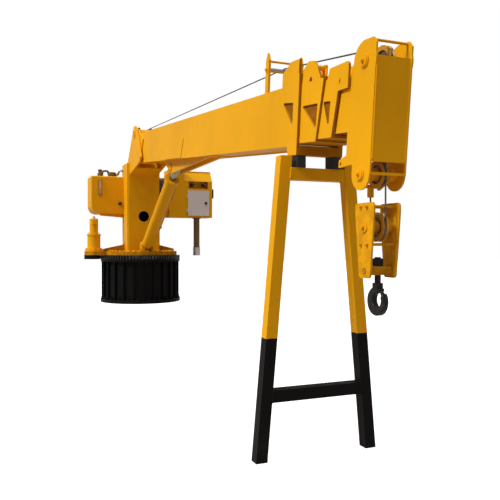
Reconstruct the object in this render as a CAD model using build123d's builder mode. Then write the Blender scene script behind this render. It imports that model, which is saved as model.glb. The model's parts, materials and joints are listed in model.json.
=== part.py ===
from build123d import *
from math import atan2, cos, degrees, hypot, pi, radians, sin, sqrt, tan
import os

os.makedirs("parts", exist_ok=True)

# Telescopic marine deck crane with its boom rest. Millimetres, +Z up, boom along +X.
# The origin is on the slew axis, on the pedestal's mounting face.

# Boom attitude and hinge
boom_rest_deg = 5.5
pivot_x = 620
pivot_z = 2680
pivot_pin_r = 45
pivot_sleeve_r = 70
pivot_boss_r = 95
fit = 0.06
slide_gap = 0.4
seat_gap = 0.5

# Pedestal and slewing ring
pedestal_r = 600
pedestal_wall = 20
pedestal_h = 663
foot_flange_r = 655
foot_flange_t = 50
foot_bolt_pcd = 1256
foot_bolt_count = 24
foot_bolt_r = 13
crown_flange_r = 650
crown_flange_t = 40
bearing_r = 560
bearing_wall = 60
gear_module = 16
gear_teeth = 80
pinion_teeth = 16
gear_h = 60
gear_lift = 3
tooth_share = 0.42
tooth_add = 0.75
tooth_ded = 1.2
flank_deg = 20

# Slewing platform and drive
platform_r = 600
platform_t = 60
platform_gap = 5
platform_bore_r = 140
tongue_r = 150
rib_t = 20
rib_h = 115
rib_toe = 40
drive_foot_r = 143
drive_foot_t = 35
gearbox_r = 103
gearbox_h = 255
motor_r = 68
motor_h = 280
drive_shaft_r = 40
guard_t = 8

# Tower and hinge ears
tower_front = 253
tower_depth = 453
tower_w = 540
tower_top = 2265
tower_wall = 15
tower_hole_r = 87
tower_hole_z = 1400
ear_gap = 198
ear_t = 30
ear_r = 120
ear_toe_x = 40
ear_nose_x = 1040
ear_nose_z = 2270
corbel_drop = 185
corbel_x = 600
corbel_t = 20
pin_head_t = 12
pin_head_over = 25

# Boom box sections
boom_w = 350
boom_h = 457
web_t = 10
flange_t = 10
lip = 15
wall = 8
section_gap = 9
corner_r = 14
tail_x = -150
base_front = 5680
section_lead = 200
section_step = 130
cheek_t = 15
pad_len = 120

# Collars of the sections
collar_len = 145
collar_t = 20
pocket_floor = 3
nose_pocket_end = 360
doubler_len = 925
doubler_slant = 90
collar_drop = 70
collar_rise = 60
nose_gap = 5
nose2_len = 325
nose3_len = 185
nose_t = 18
nose_slant = 80
collar_back = 145
ear_rise = 165
nose_lug_t = 16
lug2_rise = 130
lug3_rise = 49
lug3_reach = 105
lug_hole_r = 20

# Telescope cylinder
tele_rod_r = 40
tele_bore_r = 55
tele_tube_r = 65
tele_len = 3300
tele_plate_t = 40

# Luffing cylinder
luff_x = 450
luff_z = 912
luff_drop = 95
luff_pin_r = 40
eye_r = 72
eye_w = 100
neck_len = 100
neck_h = 110
lug_play = 2
lug_t = 30
lug_r = 80
luff_tube_r = 85
luff_bore_r = 68
luff_rod_r = 45
gland_back = 260
gland_len = 70
piston_len = 90
bracket_rear = 330
bracket_reach = 1680
bracket_t = 12

# Winch
winch_x = -300
winch_z = -10
drum_r = 80
drum_len = 180
drum_flange_r = 138
drum_flange_t = 10
drum_shaft_r = 25
winch_plate_gap = 6
winch_plate_t = 12
winch_motor_r = 88
winch_motor_len = 55
rope_r = 6
rope_seat = 0.4
wind_pitch = 12.8
wind_turns = 6

# Rope guide on the boom
guide_x = 5010
guide_h = 330
guide_post_w = 60
guide_post_t = 20
guide_half = 150
roller_r = 18
roller_pin_r = 8
roller_z = 195
roller_pitch = 70
keeper_r = 15

# Boom head
head_rear = 6250
head_front = 6585
head_top = 152
head_chamfer = 35
face_drop = 75
keeper_r = 9
head_foot = 102
wing_top = -142
wing_gap = 14
head_plate_t = 12
face_t = 12
head_pin_r = 25
boss_t = 8
top_sheave_x = 6465
top_sheave_z = 25
top_sheave_r = 95
low_sheave_x = 6480
low_sheave_z = -668
low_sheave_r = 80
sheave_flange = 10
sheave_w = 34
sheave_hub_r = 40

# Rope yoke, hook block and hook
yoke_in = 60
yoke_t = 12
yoke_r = 46
anchor_drop = 72
anchor_r = 8
socket_len = 66
socket_w = 30
block_r = 84
block_fall = 331
cheek_gap = 176
block_cheek_t = 12
block_top = 152
block_bottom = 322
block_top_w = 212
block_bottom_w = 124
block_pin_r = 22
bar_spread = 70
bar_r = 11
cross_drop = 275
cross_r = 28
cross_pin_r = 20
shank_r = 20
nut_r = 34
nut_h = 48
hook_drop = 470
hook_out_r = 92
hook_in_r = 46
hook_shift = 14
hook_t = 44
hook_neck_w = 54
latch_w = 26
latch_t = 8

# Oil tank, valve block and control cabinet
tank_front = -60
tank_depth = 470
tank_w = 525
tank_h = 620
tank_z = 1450
tank_round = 130
shelf_t = 60
gauge_in = 140
cabinet_in = 715
cabinet_w = 500
wing_in = 455
cabinet_front = 150
cabinet_depth = 350
cabinet_z = 1400
cabinet_h = 800
cabinet_wall = 8
bay_h = 120
bay_rise = 495
hood_drop = 180
hood_back = 120
arm_size = 80
door_w = 380
door_h = 430
door_t = 22
door_gap = 3
door_pin_r = 5
knuckle_h = 50
lever_pin_r = 6
lever_spread = 100
bank_gap = 30
valve_top = 2020
valve_w = 145
valve_h = 480
valve_depth = 200
pipe_r = 52
pipe_len = 650

# Boom rest
rest_x = 6176
rest_foot_z = -638
rest_foot_half = 463
rest_top_half = 265
rest_tube = 90
rest_wall = 6
rest_head_gap = 10
rest_bar_drop = 95
rest_cross_z = -161
rest_pad_w = 70
rest_pad_len = 120
rest_pad_half = 150
rest_clear = 0.6

# Frames that the boom pieces are drawn in
tilt = radians(boom_rest_deg)
boom_dir = Vector(cos(tilt), 0, -sin(tilt))
boom_up = Vector(sin(tilt), 0, cos(tilt))
pivot = Vector(pivot_x, 0, pivot_z)
boom_side = Plane(origin=pivot, x_dir=boom_dir, z_dir=(0, -1, 0))


def boom_point(x, z):
    return pivot + boom_dir * x + boom_up * z


def boom_face(x, z=-boom_h / 2):
    return Plane(origin=boom_point(x, z), x_dir=(0, 1, 0), z_dir=boom_dir)


def boom_axle(x, z, y=0):
    return Plane(origin=boom_point(x, z) + Vector(0, y, 0), x_dir=boom_dir, z_dir=(0, -1, 0))


# Levels and stacks that follow from the sizes
crown_z = pedestal_h + crown_flange_t
gear_top = crown_z + gear_h
platform_z = gear_top + platform_gap
deck_z = platform_z + platform_t
gear_pitch_r = gear_module * gear_teeth / 2
pinion_pitch_r = gear_module * pinion_teeth / 2
drive_y = -(gear_pitch_r + pinion_pitch_r)
tooth_half = pi * gear_module * tooth_share / 2
tip_half = tooth_half - gear_module * tooth_add * tan(radians(flank_deg))
root_half = tooth_half + gear_module * tooth_ded * tan(radians(flank_deg))
tooth = (
    (-gear_module * tooth_ded - 2, -root_half),
    (gear_module * tooth_add, -tip_half),
    (gear_module * tooth_add, tip_half),
    (-gear_module * tooth_ded - 2, root_half),
)
tower_back = tower_front - tower_depth
tower_mid = (tower_front + tower_back) / 2
lug_in = eye_w / 2 + lug_play

cavity1_w = boom_w - 2 * web_t
cavity1_h = boom_h - 2 * (lip + flange_t)
sec2_w = cavity1_w - 2 * section_gap
sec2_h = cavity1_h - 2 * section_gap
cavity2_w = sec2_w - 2 * wall
cavity2_h = sec2_h - 2 * wall
sec3_w = cavity2_w - 2 * section_gap
sec3_h = cavity2_h - 2 * section_gap
cavity3_w = sec3_w - 2 * wall
cavity3_h = sec3_h - 2 * wall
sec4_w = cavity3_w - 2 * section_gap
sec4_h = cavity3_h - 2 * section_gap
sec2_rear = section_lead
sec3_rear = sec2_rear + section_step
sec4_rear = sec3_rear + section_step
collar_front = base_front + 2 * nose_gap
nose2_rear = collar_front + nose_gap
nose2_front = nose2_rear + nose2_len
nose3_front = nose2_front + nose_gap + nose3_len
sec2_front = nose2_front - nose_slant - nose_gap
sec3_front = nose3_front - nose_slant - nose_gap
sec4_half = sec4_w / 2

# The two luffing pins lie equally far from the boom hinge, so that barrel and rod stay in line
luff_arm = hypot(luff_x - pivot_x, luff_z - pivot_z)
luff_pin_z = -boom_h - luff_drop
luff_pin_x = sqrt(luff_arm**2 - luff_pin_z**2)
luff_foot = Vector(luff_x, 0, luff_z)
luff_head = boom_point(luff_pin_x, luff_pin_z)
luff_line = luff_head - luff_foot
luff_closed = luff_line.length
luff_dir = luff_line.normalized()
luff_side = Plane(origin=luff_foot, x_dir=luff_dir, z_dir=(0, -1, 0))


def luff_face(x):
    return Plane(origin=luff_foot + luff_dir * x, x_dir=(0, 1, 0), z_dir=luff_dir)


low_axle = boom_point(low_sheave_x, low_sheave_z)
block_x = low_axle.X + low_sheave_r - block_r
block_z = low_axle.Z - block_fall
cross_z = block_z - cross_drop
hook_z = block_z - hook_drop
live_x = low_axle.X + low_sheave_r
dead_x = live_x - 2 * block_r

# Pedestal: a flanged tube bolted down to the deck
with BuildPart() as pedestal:
    with BuildSketch(Plane.XZ):
        with BuildLine():
            Polyline(
                (pedestal_r - pedestal_wall, 0),
                (foot_flange_r, 0),
                (foot_flange_r, foot_flange_t),
                (pedestal_r, foot_flange_t),
                (pedestal_r, pedestal_h),
                (crown_flange_r, pedestal_h),
                (crown_flange_r, crown_z),
                (bearing_r - pedestal_wall, crown_z),
                (bearing_r - pedestal_wall, pedestal_h),
                (pedestal_r - pedestal_wall, pedestal_h),
                close=True,
            )
        make_face()
    revolve(axis=Axis.Z)
    with PolarLocations(foot_bolt_pcd / 2, foot_bolt_count):
        Cylinder(foot_bolt_r, 2 * foot_flange_t, mode=Mode.SUBTRACT)
pedestal.part.label = "pedestal"
export_step(pedestal.part, "parts/pedestal.step")

# Slewing ring: fixed outer ring with the gear teeth
with BuildPart() as slew_gear:
    with BuildSketch(Plane.XY.offset(crown_z)):
        Circle(gear_pitch_r - gear_module * tooth_ded)
        with PolarLocations(gear_pitch_r, gear_teeth):
            Polygon(*tooth, align=None)
        Circle(bearing_r, mode=Mode.SUBTRACT)
    extrude(amount=gear_h)
slew_gear.part.label = "slew_gear"
export_step(slew_gear.part, "parts/slew_gear.step")

# Slewing ring: turning inner ring under the platform
with BuildPart() as slew_race:
    with BuildSketch(Plane.XY.offset(crown_z + gear_lift)):
        Circle(bearing_r - seat_gap)
        Circle(bearing_r - bearing_wall, mode=Mode.SUBTRACT)
    extrude(amount=platform_z - crown_z - gear_lift)
slew_race.part.label = "slew_race"
export_step(slew_race.part, "parts/slew_race.step")

# Slewing platform with the tongue for the drive, two web ribs and the lugs of the luffing cylinder
with BuildPart() as platform:
    with BuildSketch(Plane.XY.offset(platform_z)):
        Circle(platform_r)
        with Locations((0, drive_y)):
            Circle(tongue_r)
        with Locations((0, drive_y / 2)):
            Rectangle(2 * tongue_r, -drive_y)
        Circle(platform_bore_r, mode=Mode.SUBTRACT)
        with Locations((0, drive_y)):
            Circle(drive_shaft_r + 20, mode=Mode.SUBTRACT)
    extrude(amount=platform_t)
    for side, reach in ((-1, -drive_y - drive_foot_r - 4), (1, platform_r - 30)):
        with BuildSketch(Plane.YZ):
            with BuildLine():
                Polyline(
                    (side * tower_w / 2, deck_z),
                    (side * reach, deck_z),
                    (side * reach, deck_z + rib_toe),
                    (side * tower_w / 2, deck_z + rib_h),
                    close=True,
                )
            make_face()
        extrude(amount=rib_t / 2, both=True)
    for side in (-1, 1):
        with BuildSketch(Plane.XZ.offset(side * (lug_in + lug_t / 2))):
            with Locations((luff_x, luff_z)):
                Circle(lug_r - 6)
            with Locations((luff_x - 10, deck_z)):
                Rectangle(220, 12, align=(Align.CENTER, Align.MIN))
            make_hull()
            with Locations((luff_x, luff_z)):
                Circle(luff_pin_r + fit, mode=Mode.SUBTRACT)
        extrude(amount=lug_t / 2, both=True)
platform.part.label = "platform"
export_step(platform.part, "parts/platform.step")

# Slewing drive: planetary gearbox and hydraulic motor over the pinion
with BuildPart() as slew_drive:
    with BuildSketch(Plane(origin=(0, drive_y, 0), x_dir=(1, 0, 0), z_dir=(0, -1, 0))):
        with BuildLine():
            Polyline(
                (drive_shaft_r + fit, deck_z),
                (drive_foot_r, deck_z),
                (drive_foot_r, deck_z + drive_foot_t),
                (gearbox_r, deck_z + drive_foot_t),
                (gearbox_r, deck_z + gearbox_h),
                (gearbox_r + 8, deck_z + gearbox_h),
                (gearbox_r + 8, deck_z + gearbox_h + 26),
                (motor_r, deck_z + gearbox_h + 26),
                (motor_r, deck_z + gearbox_h + motor_h),
                (0, deck_z + gearbox_h + motor_h),
                (0, deck_z + drive_foot_t + 60),
                (drive_shaft_r + fit, deck_z + drive_foot_t + 60),
                close=True,
            )
        make_face()
    revolve(axis=Axis((0, drive_y, 0), (0, 0, 1)))
    with Locations((0, drive_y, deck_z + gearbox_h + motor_h - 60)):
        Box(2 * motor_r + 50, 70, 70)
    top = slew_drive.faces().sort_by(Axis.Z)[-1]
    chamfer(top.edges(), 10)
slew_drive.part.label = "slew_drive"
export_step(slew_drive.part, "parts/slew_drive.step")

# Slewing pinion on its shaft, in mesh with the ring
with BuildPart() as slew_pinion:
    with BuildSketch(Plane.XY.offset(crown_z + gear_lift)):
        with Locations((0, drive_y)):
            Circle(pinion_pitch_r - gear_module * tooth_ded)
            with PolarLocations(pinion_pitch_r, pinion_teeth, start_angle=180 / pinion_teeth):
                Polygon(*tooth, align=None)
    extrude(amount=gear_h - gear_lift)
    with Locations((0, drive_y, crown_z + gear_lift)):
        Cylinder(
            drive_shaft_r,
            deck_z + drive_foot_t + 60 - seat_gap - crown_z - gear_lift,
            align=(Align.CENTER, Align.CENTER, Align.MIN),
        )
slew_pinion.part.label = "slew_pinion"
export_step(slew_pinion.part, "parts/slew_pinion.step")

# Guard that wraps the outer side of the pinion
pinion_tip_r = pinion_pitch_r + gear_module * tooth_add
with BuildPart() as pinion_guard:
    with BuildSketch(Plane.XY.offset(crown_z)):
        with Locations((0, drive_y)):
            Circle(pinion_tip_r + guard_t + 6)
            Circle(pinion_tip_r + 6, mode=Mode.SUBTRACT)
        with Locations((0, 0)):
            Circle(gear_pitch_r + gear_module * tooth_add + 60, mode=Mode.SUBTRACT)
    extrude(amount=platform_z - crown_z)
pinion_guard.part.label = "pinion_guard"
export_step(pinion_guard.part, "parts/pinion_guard.step")

# Tower: a closed box column with a round hand hole in front and the bracket that the tank stands on
with BuildPart() as tower:
    with BuildSketch(Plane.XY.offset(deck_z)):
        with Locations((tower_mid, 0)):
            RectangleRounded(tower_depth, tower_w, 2 * tower_wall)
            RectangleRounded(
                tower_depth - 2 * tower_wall, tower_w - 2 * tower_wall, tower_wall, mode=Mode.SUBTRACT
            )
    extrude(amount=tower_top - deck_z)
    with BuildSketch(Plane.XY.offset(tower_top)):
        with Locations((tower_mid, 0)):
            RectangleRounded(tower_depth, tower_w, 2 * tower_wall)
    extrude(amount=-tower_wall)
    with BuildSketch(Plane(origin=(tower_front, 0, tower_hole_z), x_dir=(0, 1, 0), z_dir=(1, 0, 0))):
        Circle(tower_hole_r)
    extrude(amount=-2 * tower_wall, mode=Mode.SUBTRACT)
    with BuildSketch(Plane.YZ.offset((tower_back + tank_front) / 2)):
        with BuildLine():
            Polyline(
                (-tower_w / 2, tank_z),
                (-tower_w / 2 - tank_w + tank_round + 20, tank_z),
                (-tower_w / 2 - tank_w + tank_round + 20, tank_z - 30),
                (-tower_w / 2, tank_z - 60),
                close=True,
            )
        make_face()
    extrude(amount=shelf_t / 2, both=True)
tower.part.label = "tower"
export_step(tower.part, "parts/tower.step")

# Hinge ears on the tower, with the corbel plate under them
corbel_z = tower_top - corbel_drop
with BuildPart() as tower_ears:
    for side in (-1, 1):
        with BuildSketch(Plane.XZ.offset(-side * (ear_gap + ear_t / 2))):
            with Locations((pivot_x, pivot_z)):
                Circle(ear_r)
            with BuildLine():
                Polyline(
                    (ear_toe_x, tower_top),
                    (tower_front, corbel_z),
                    (ear_nose_x - 60, ear_nose_z - 70),
                    (ear_nose_x, ear_nose_z),
                    close=True,
                )
            make_face()
            make_hull()
            with Locations((tower_front, tower_top)):
                Rectangle(tower_depth, tower_top, align=(Align.MAX, Align.MAX), mode=Mode.SUBTRACT)
            with Locations((pivot_x, pivot_z)):
                Circle(pivot_pin_r + fit, mode=Mode.SUBTRACT)
        extrude(amount=ear_t / 2, both=True)
    corbel_end = corbel_z + (ear_nose_z - 70 - corbel_z) * (corbel_x - tower_front) / (
        ear_nose_x - 60 - tower_front
    )
    with BuildSketch(Plane.XZ):
        with BuildLine():
            Polyline(
                (tower_front, corbel_z),
                (corbel_x, corbel_end),
                (corbel_x, corbel_end + corbel_t),
                (tower_front, corbel_z + corbel_t),
                close=True,
            )
        make_face()
    extrude(amount=ear_gap, both=True)
    with Locations((ear_toe_x + 60, 0, tower_top)):
        Box(corbel_t, 2 * ear_gap, 60, align=(Align.CENTER, Align.CENTER, Align.MIN))
tower_ears.part.label = "tower_ears"
export_step(tower_ears.part, "parts/tower_ears.step")

# Boom hinge pin with its two end plates
with BuildPart() as hinge_pin:
    with BuildSketch(Plane.XZ):
        with Locations((pivot_x, pivot_z)):
            Circle(pivot_pin_r)
    extrude(amount=ear_gap + ear_t + pin_head_t, both=True)
    for side in (-1, 1):
        with BuildSketch(Plane.XZ.offset(side * (ear_gap + ear_t + pin_head_t / 2))):
            with Locations((pivot_x, pivot_z)):
                Circle(pivot_pin_r + pin_head_over)
        extrude(amount=pin_head_t / 2, both=True)
hinge_pin.part.label = "hinge_pin"
export_step(hinge_pin.part, "parts/hinge_pin.step")

# Pins of the luffing cylinder
for name, plane in (
    ("luff_foot_pin", luff_side),
    ("luff_head_pin", boom_axle(luff_pin_x, luff_pin_z)),
):
    with BuildPart() as luff_pin:
        with BuildSketch(plane):
            Circle(luff_pin_r)
        extrude(amount=lug_in + lug_t + pin_head_t, both=True)
        for side in (-1, 1):
            with BuildSketch(plane.offset(side * (lug_in + lug_t + pin_head_t / 2))):
                Circle(luff_pin_r + pin_head_over)
            extrude(amount=pin_head_t / 2, both=True)
    luff_pin.part.label = name
    export_step(luff_pin.part, f"parts/{name}.step")

# Barrel of the luffing cylinder with its foot eye and gland
gland_x = luff_closed - gland_back
with BuildPart() as luff_barrel:
    with BuildSketch(luff_face(neck_len - 10)):
        Circle(luff_tube_r)
    extrude(amount=gland_x - neck_len + 10)
    with BuildSketch(luff_face(gland_x - gland_len)):
        Circle(luff_tube_r + 10)
    extrude(amount=gland_len + 20)
    with BuildSketch(luff_side):
        Circle(eye_r)
        Rectangle(neck_len, neck_h, align=(Align.MIN, Align.CENTER))
    extrude(amount=eye_w / 2, both=True)
    with BuildSketch(luff_face(neck_len + 15)):
        Circle(luff_bore_r)
    extrude(amount=gland_x - gland_len - neck_len - 15, mode=Mode.SUBTRACT)
    with BuildSketch(luff_face(gland_x - gland_len)):
        Circle(luff_rod_r + slide_gap)
    extrude(amount=gland_len + 40, mode=Mode.SUBTRACT)
    with BuildSketch(luff_side):
        Circle(luff_pin_r + fit)
    extrude(amount=eye_w, both=True, mode=Mode.SUBTRACT)
luff_barrel.part.label = "luff_barrel"
export_step(luff_barrel.part, "parts/luff_barrel.step")

# Rod of the luffing cylinder with piston and head eye
with BuildPart() as luff_rod:
    with BuildSketch(luff_face(neck_len + 30)):
        Circle(luff_rod_r)
    extrude(amount=luff_closed - neck_len - 20 - eye_r)
    with BuildSketch(luff_face(neck_len + 30)):
        Circle(luff_bore_r - slide_gap)
    extrude(amount=piston_len)
    with BuildSketch(boom_axle(luff_pin_x, luff_pin_z)):
        Circle(eye_r)
    extrude(amount=eye_w / 2, both=True)
    with BuildSketch(boom_axle(luff_pin_x, luff_pin_z)):
        Circle(luff_pin_r + fit)
    extrude(amount=eye_w, both=True, mode=Mode.SUBTRACT)
luff_rod.part.label = "luff_rod"
export_step(luff_rod.part, "parts/luff_rod.step")

# Base boom: webs, inset flanges, tail plate, hinge cheeks and sleeve
with BuildPart() as boom_base:
    with BuildSketch(boom_face(tail_x)):
        Rectangle(boom_w, boom_h)
        with Locations((0, boom_h / 2), (0, -boom_h / 2)):
            Rectangle(cavity1_w, 2 * lip, mode=Mode.SUBTRACT)
        Rectangle(cavity1_w, cavity1_h, mode=Mode.SUBTRACT)
    extrude(amount=base_front - tail_x)
    with BuildSketch(boom_face(tail_x)):
        Rectangle(cavity1_w, cavity1_h)
    extrude(amount=web_t)
    for side in (-1, 1):
        with BuildSketch(boom_side.offset(side * (boom_w + cheek_t) / 2)):
            Circle(pivot_boss_r)
            with BuildLine():
                Polyline(
                    (tail_x, -boom_h + 40),
                    (-tail_x + 120, -boom_h + 40),
                    (-3 * tail_x, -100),
                    (tail_x, -60),
                    close=True,
                )
            make_face()
            make_hull()
        extrude(amount=cheek_t / 2, both=True)
        with BuildSketch(boom_side.offset(side * (boom_w / 2 + cheek_t))):
            Circle(pivot_boss_r - 10)
        extrude(amount=side * (ear_gap - seat_gap - boom_w / 2 - cheek_t))
        with BuildSketch(boom_side.offset(side * boom_w / 2)):
            with BuildLine():
                Polyline(
                    (luff_pin_x + 100, -boom_h + 8),
                    (luff_pin_x + 150, -boom_h / 2),
                    (luff_pin_x + doubler_len, -boom_h / 2),
                    (luff_pin_x + doubler_len - doubler_slant, -boom_h + 8),
                    close=True,
                )
            make_face()
        extrude(amount=side * wall)
    with BuildSketch(boom_side):
        Circle(pivot_sleeve_r)
    extrude(amount=boom_w / 2, both=True)
    with BuildSketch(boom_side):
        Circle(pivot_pin_r + fit)
    extrude(amount=boom_w, both=True, mode=Mode.SUBTRACT)
boom_base.part.label = "boom_base"
export_step(boom_base.part, "parts/boom_base.step")

# Long bracket under the base boom for the head of the luffing cylinder
bracket_top = -boom_h + lip
with BuildPart() as luff_bracket:
    for side in (-1, 1):
        with BuildSketch(boom_side.offset(side * (lug_in + lug_t / 2))):
            with Locations((luff_pin_x, luff_pin_z)):
                Circle(lug_r)
            with BuildLine():
                Polyline(
                    (luff_pin_x - bracket_rear, bracket_top),
                    (luff_pin_x + bracket_reach, bracket_top),
                    (luff_pin_x + bracket_reach, bracket_top - bracket_t),
                    (luff_pin_x - bracket_rear, bracket_top - bracket_t),
                    close=True,
                )
            make_face()
            make_hull()
            with Locations((luff_pin_x, luff_pin_z)):
                Circle(luff_pin_r + fit, mode=Mode.SUBTRACT)
        extrude(amount=lug_t / 2, both=True)
    with BuildSketch(boom_side):
        with Locations((luff_pin_x - bracket_rear, bracket_top)):
            Rectangle(bracket_rear + bracket_reach, bracket_t, align=(Align.MIN, Align.MAX))
    extrude(amount=cavity1_w / 2 - 20, both=True)
luff_bracket.part.label = "luff_bracket"
export_step(luff_bracket.part, "parts/luff_bracket.step")

# Collar round the mouth of the base boom, with its two eared side plates
collar_rear = collar_front - collar_len
with BuildPart() as base_collar:
    with BuildSketch(boom_side):
        with BuildLine():
            Polyline(
                (collar_rear, -boom_h - collar_drop),
                (collar_front, -boom_h - collar_drop),
                (collar_front, collar_rise),
                (collar_rear, collar_rise),
                close=True,
            )
        make_face()
    extrude(amount=boom_w / 2 + collar_t, both=True)
    with BuildSketch(boom_face(collar_rear)):
        Rectangle(boom_w, boom_h)
    extrude(amount=collar_len, mode=Mode.SUBTRACT)
    for side in (-1, 1):
        with BuildSketch(boom_side.offset(side * (boom_w / 2 + collar_t / 2))):
            with BuildLine():
                Polyline(
                    (collar_rear, -boom_h - collar_drop),
                    (collar_front - 10, -boom_h - collar_drop),
                    (collar_front - 10, ear_rise),
                    (collar_rear, ear_rise),
                    (collar_rear - collar_back, ear_rise - 70),
                    (collar_rear - collar_back, -100),
                    close=True,
                )
            make_face()
        extrude(amount=collar_t / 2, both=True)
        with BuildSketch(boom_side.offset(side * (boom_w / 2 + collar_t))):
            with BuildLine():
                Polyline(
                    (collar_rear - collar_back + 25, -125),
                    (collar_front - 85, -140),
                    (collar_front - 85, -310),
                    close=True,
                )
            make_face()
            fillet(vertices(), 10)
        extrude(amount=-side * (collar_t - pocket_floor), mode=Mode.SUBTRACT)
base_collar.part.label = "base_collar"
export_step(base_collar.part, "parts/base_collar.step")

# The three telescoping box sections
for name, rear, front, width, height in (
    ("section_2", sec2_rear, sec2_front, sec2_w, sec2_h),
    ("section_3", sec3_rear, sec3_front, sec3_w, sec3_h),
    ("section_4", sec4_rear, head_rear, sec4_w, sec4_h),
):
    with BuildPart() as section:
        with BuildSketch(boom_face(rear)):
            RectangleRounded(width, height, corner_r)
            RectangleRounded(width - 2 * wall, height - 2 * wall, corner_r - wall, mode=Mode.SUBTRACT)
        extrude(amount=front - rear)
    section.part.label = name
    export_step(section.part, f"parts/{name}.step")

# Slanted nose collars of the second and third sections, with their lifting lugs
nose3_rear = nose2_front + nose_gap
lug2 = (
    (nose2_rear, -60),
    (nose2_front - 15, -60),
    (nose2_front - 95, lug2_rise - 60),
    (nose2_front - 150, lug2_rise - 8),
    (nose2_rear + 90, lug2_rise),
    (nose2_rear + 15, lug2_rise - 48),
)
lug3 = (
    (nose3_rear, -80),
    (nose3_front - 25, -125),
    (nose3_front + lug3_reach, -120),
    (nose3_front + lug3_reach, lug3_rise - 18),
    (nose3_front + lug3_reach - 18, lug3_rise),
    (nose3_rear + 44, lug3_rise - 12),
)
for name, rear, front, lean, width, height, lug, hole in (
    ("nose_2", nose2_rear, nose2_front, 0, sec2_w, sec2_h, lug2, (nose2_rear + 136, -4)),
    ("nose_3", nose3_rear, nose3_front, nose_slant, sec3_w, sec3_h, lug3, (nose3_front - 13, -62)),
):
    nose_bottom = -boom_h / 2 - height / 2 - nose_t
    nose_top = -boom_h / 2 + height / 2 + nose_t
    with BuildPart() as nose:
        with BuildSketch(boom_side):
            with BuildLine():
                Polyline(
                    (rear - lean, nose_bottom),
                    (front - nose_slant, nose_bottom),
                    (front, nose_top),
                    (rear, nose_top),
                    close=True,
                )
            make_face()
        extrude(amount=width / 2 + nose_t, both=True)
        with BuildSketch(boom_face(rear - lean)):
            RectangleRounded(width, height, corner_r)
        extrude(amount=front - rear + lean, mode=Mode.SUBTRACT)
        for side in (-1, 1):
            with BuildSketch(boom_side.offset(side * (width / 2 + nose_t))):
                with BuildLine():
                    Polyline(
                        (rear - lean / 2 + 15, -175),
                        (front - lean / 2 - 70, -180),
                        (front - lean / 2 - 85, -nose_pocket_end),
                        close=True,
                    )
                make_face()
                fillet(vertices(), 10)
            extrude(amount=-side * (nose_t - pocket_floor), mode=Mode.SUBTRACT)
            with BuildSketch(boom_side.offset(side * (width / 2 + nose_t - nose_lug_t / 2))):
                with BuildLine():
                    Polyline(*lug, close=True)
                make_face()
                fillet(vertices().sort_by(Axis.Y)[2:], 14)
                with Locations(hole):
                    Circle(lug_hole_r, mode=Mode.SUBTRACT)
            extrude(amount=nose_lug_t / 2, both=True)
    nose.part.label = name
    export_step(nose.part, f"parts/{name}.step")

# Wear pads: mouth pads line each outer section, heel pads ride on each inner one
heel1 = (cavity1_w - 2 * slide_gap, cavity1_h - 2 * slide_gap)
heel2 = (cavity2_w - 2 * slide_gap, cavity2_h - 2 * slide_gap)
heel3 = (cavity3_w - 2 * slide_gap, cavity3_h - 2 * slide_gap)
mouth2 = (sec2_w + 2 * slide_gap, sec2_h + 2 * slide_gap)
mouth3 = (sec3_w + 2 * slide_gap, sec3_h + 2 * slide_gap)
mouth4 = (sec4_w + 2 * slide_gap, sec4_h + 2 * slide_gap)
bend_r = corner_r - wall
for name, rings in (
    ("pads_1", ((base_front - pad_len, (cavity1_w, cavity1_h), 1, mouth2),)),
    (
        "pads_2",
        (
            (sec2_front - pad_len, (cavity2_w, cavity2_h), bend_r, mouth3),
            (sec2_rear, heel1, bend_r, (sec2_w, sec2_h)),
        ),
    ),
    (
        "pads_3",
        (
            (sec3_front - pad_len, (cavity3_w, cavity3_h), bend_r, mouth4),
            (sec3_rear, heel2, bend_r, (sec3_w, sec3_h)),
        ),
    ),
    ("pads_4", ((sec4_rear, heel3, bend_r, (sec4_w, sec4_h)),)),
):
    with BuildPart() as pads:
        for start, outside, round_r, inside in rings:
            with BuildSketch(boom_face(start)):
                RectangleRounded(*outside, round_r)
                RectangleRounded(*inside, corner_r, mode=Mode.SUBTRACT)
            extrude(amount=pad_len)
    pads.part.label = name
    export_step(pads.part, f"parts/{name}.step")

# Telescope cylinder: rod fixed to the tail of the base boom, barrel carried by the second section
tele_end = sec2_rear + tele_len
with BuildPart() as tele_rod:
    with BuildSketch(boom_face(tail_x + web_t)):
        Circle(tele_rod_r)
    extrude(amount=tele_end - 100 - tail_x - web_t)
    with BuildSketch(boom_face(tele_end - 100)):
        Circle(tele_bore_r - slide_gap)
    extrude(amount=-80)
tele_rod.part.label = "tele_rod"
export_step(tele_rod.part, "parts/tele_rod.step")

with BuildPart() as tele_barrel:
    with BuildSketch(boom_face(sec2_rear)):
        Circle(tele_tube_r)
    extrude(amount=tele_len)
    with BuildSketch(boom_face(sec2_rear + 10)):
        RectangleRounded(cavity2_w, cavity2_h, corner_r - wall)
    extrude(amount=tele_plate_t)
    with BuildSketch(boom_face(sec2_rear)):
        Circle(tele_rod_r + slide_gap)
    extrude(amount=60, mode=Mode.SUBTRACT)
    with BuildSketch(boom_face(sec2_rear + 60)):
        Circle(tele_bore_r)
    extrude(amount=tele_len - 100, mode=Mode.SUBTRACT)
tele_barrel.part.label = "tele_barrel"
export_step(tele_barrel.part, "parts/tele_barrel.step")

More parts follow.
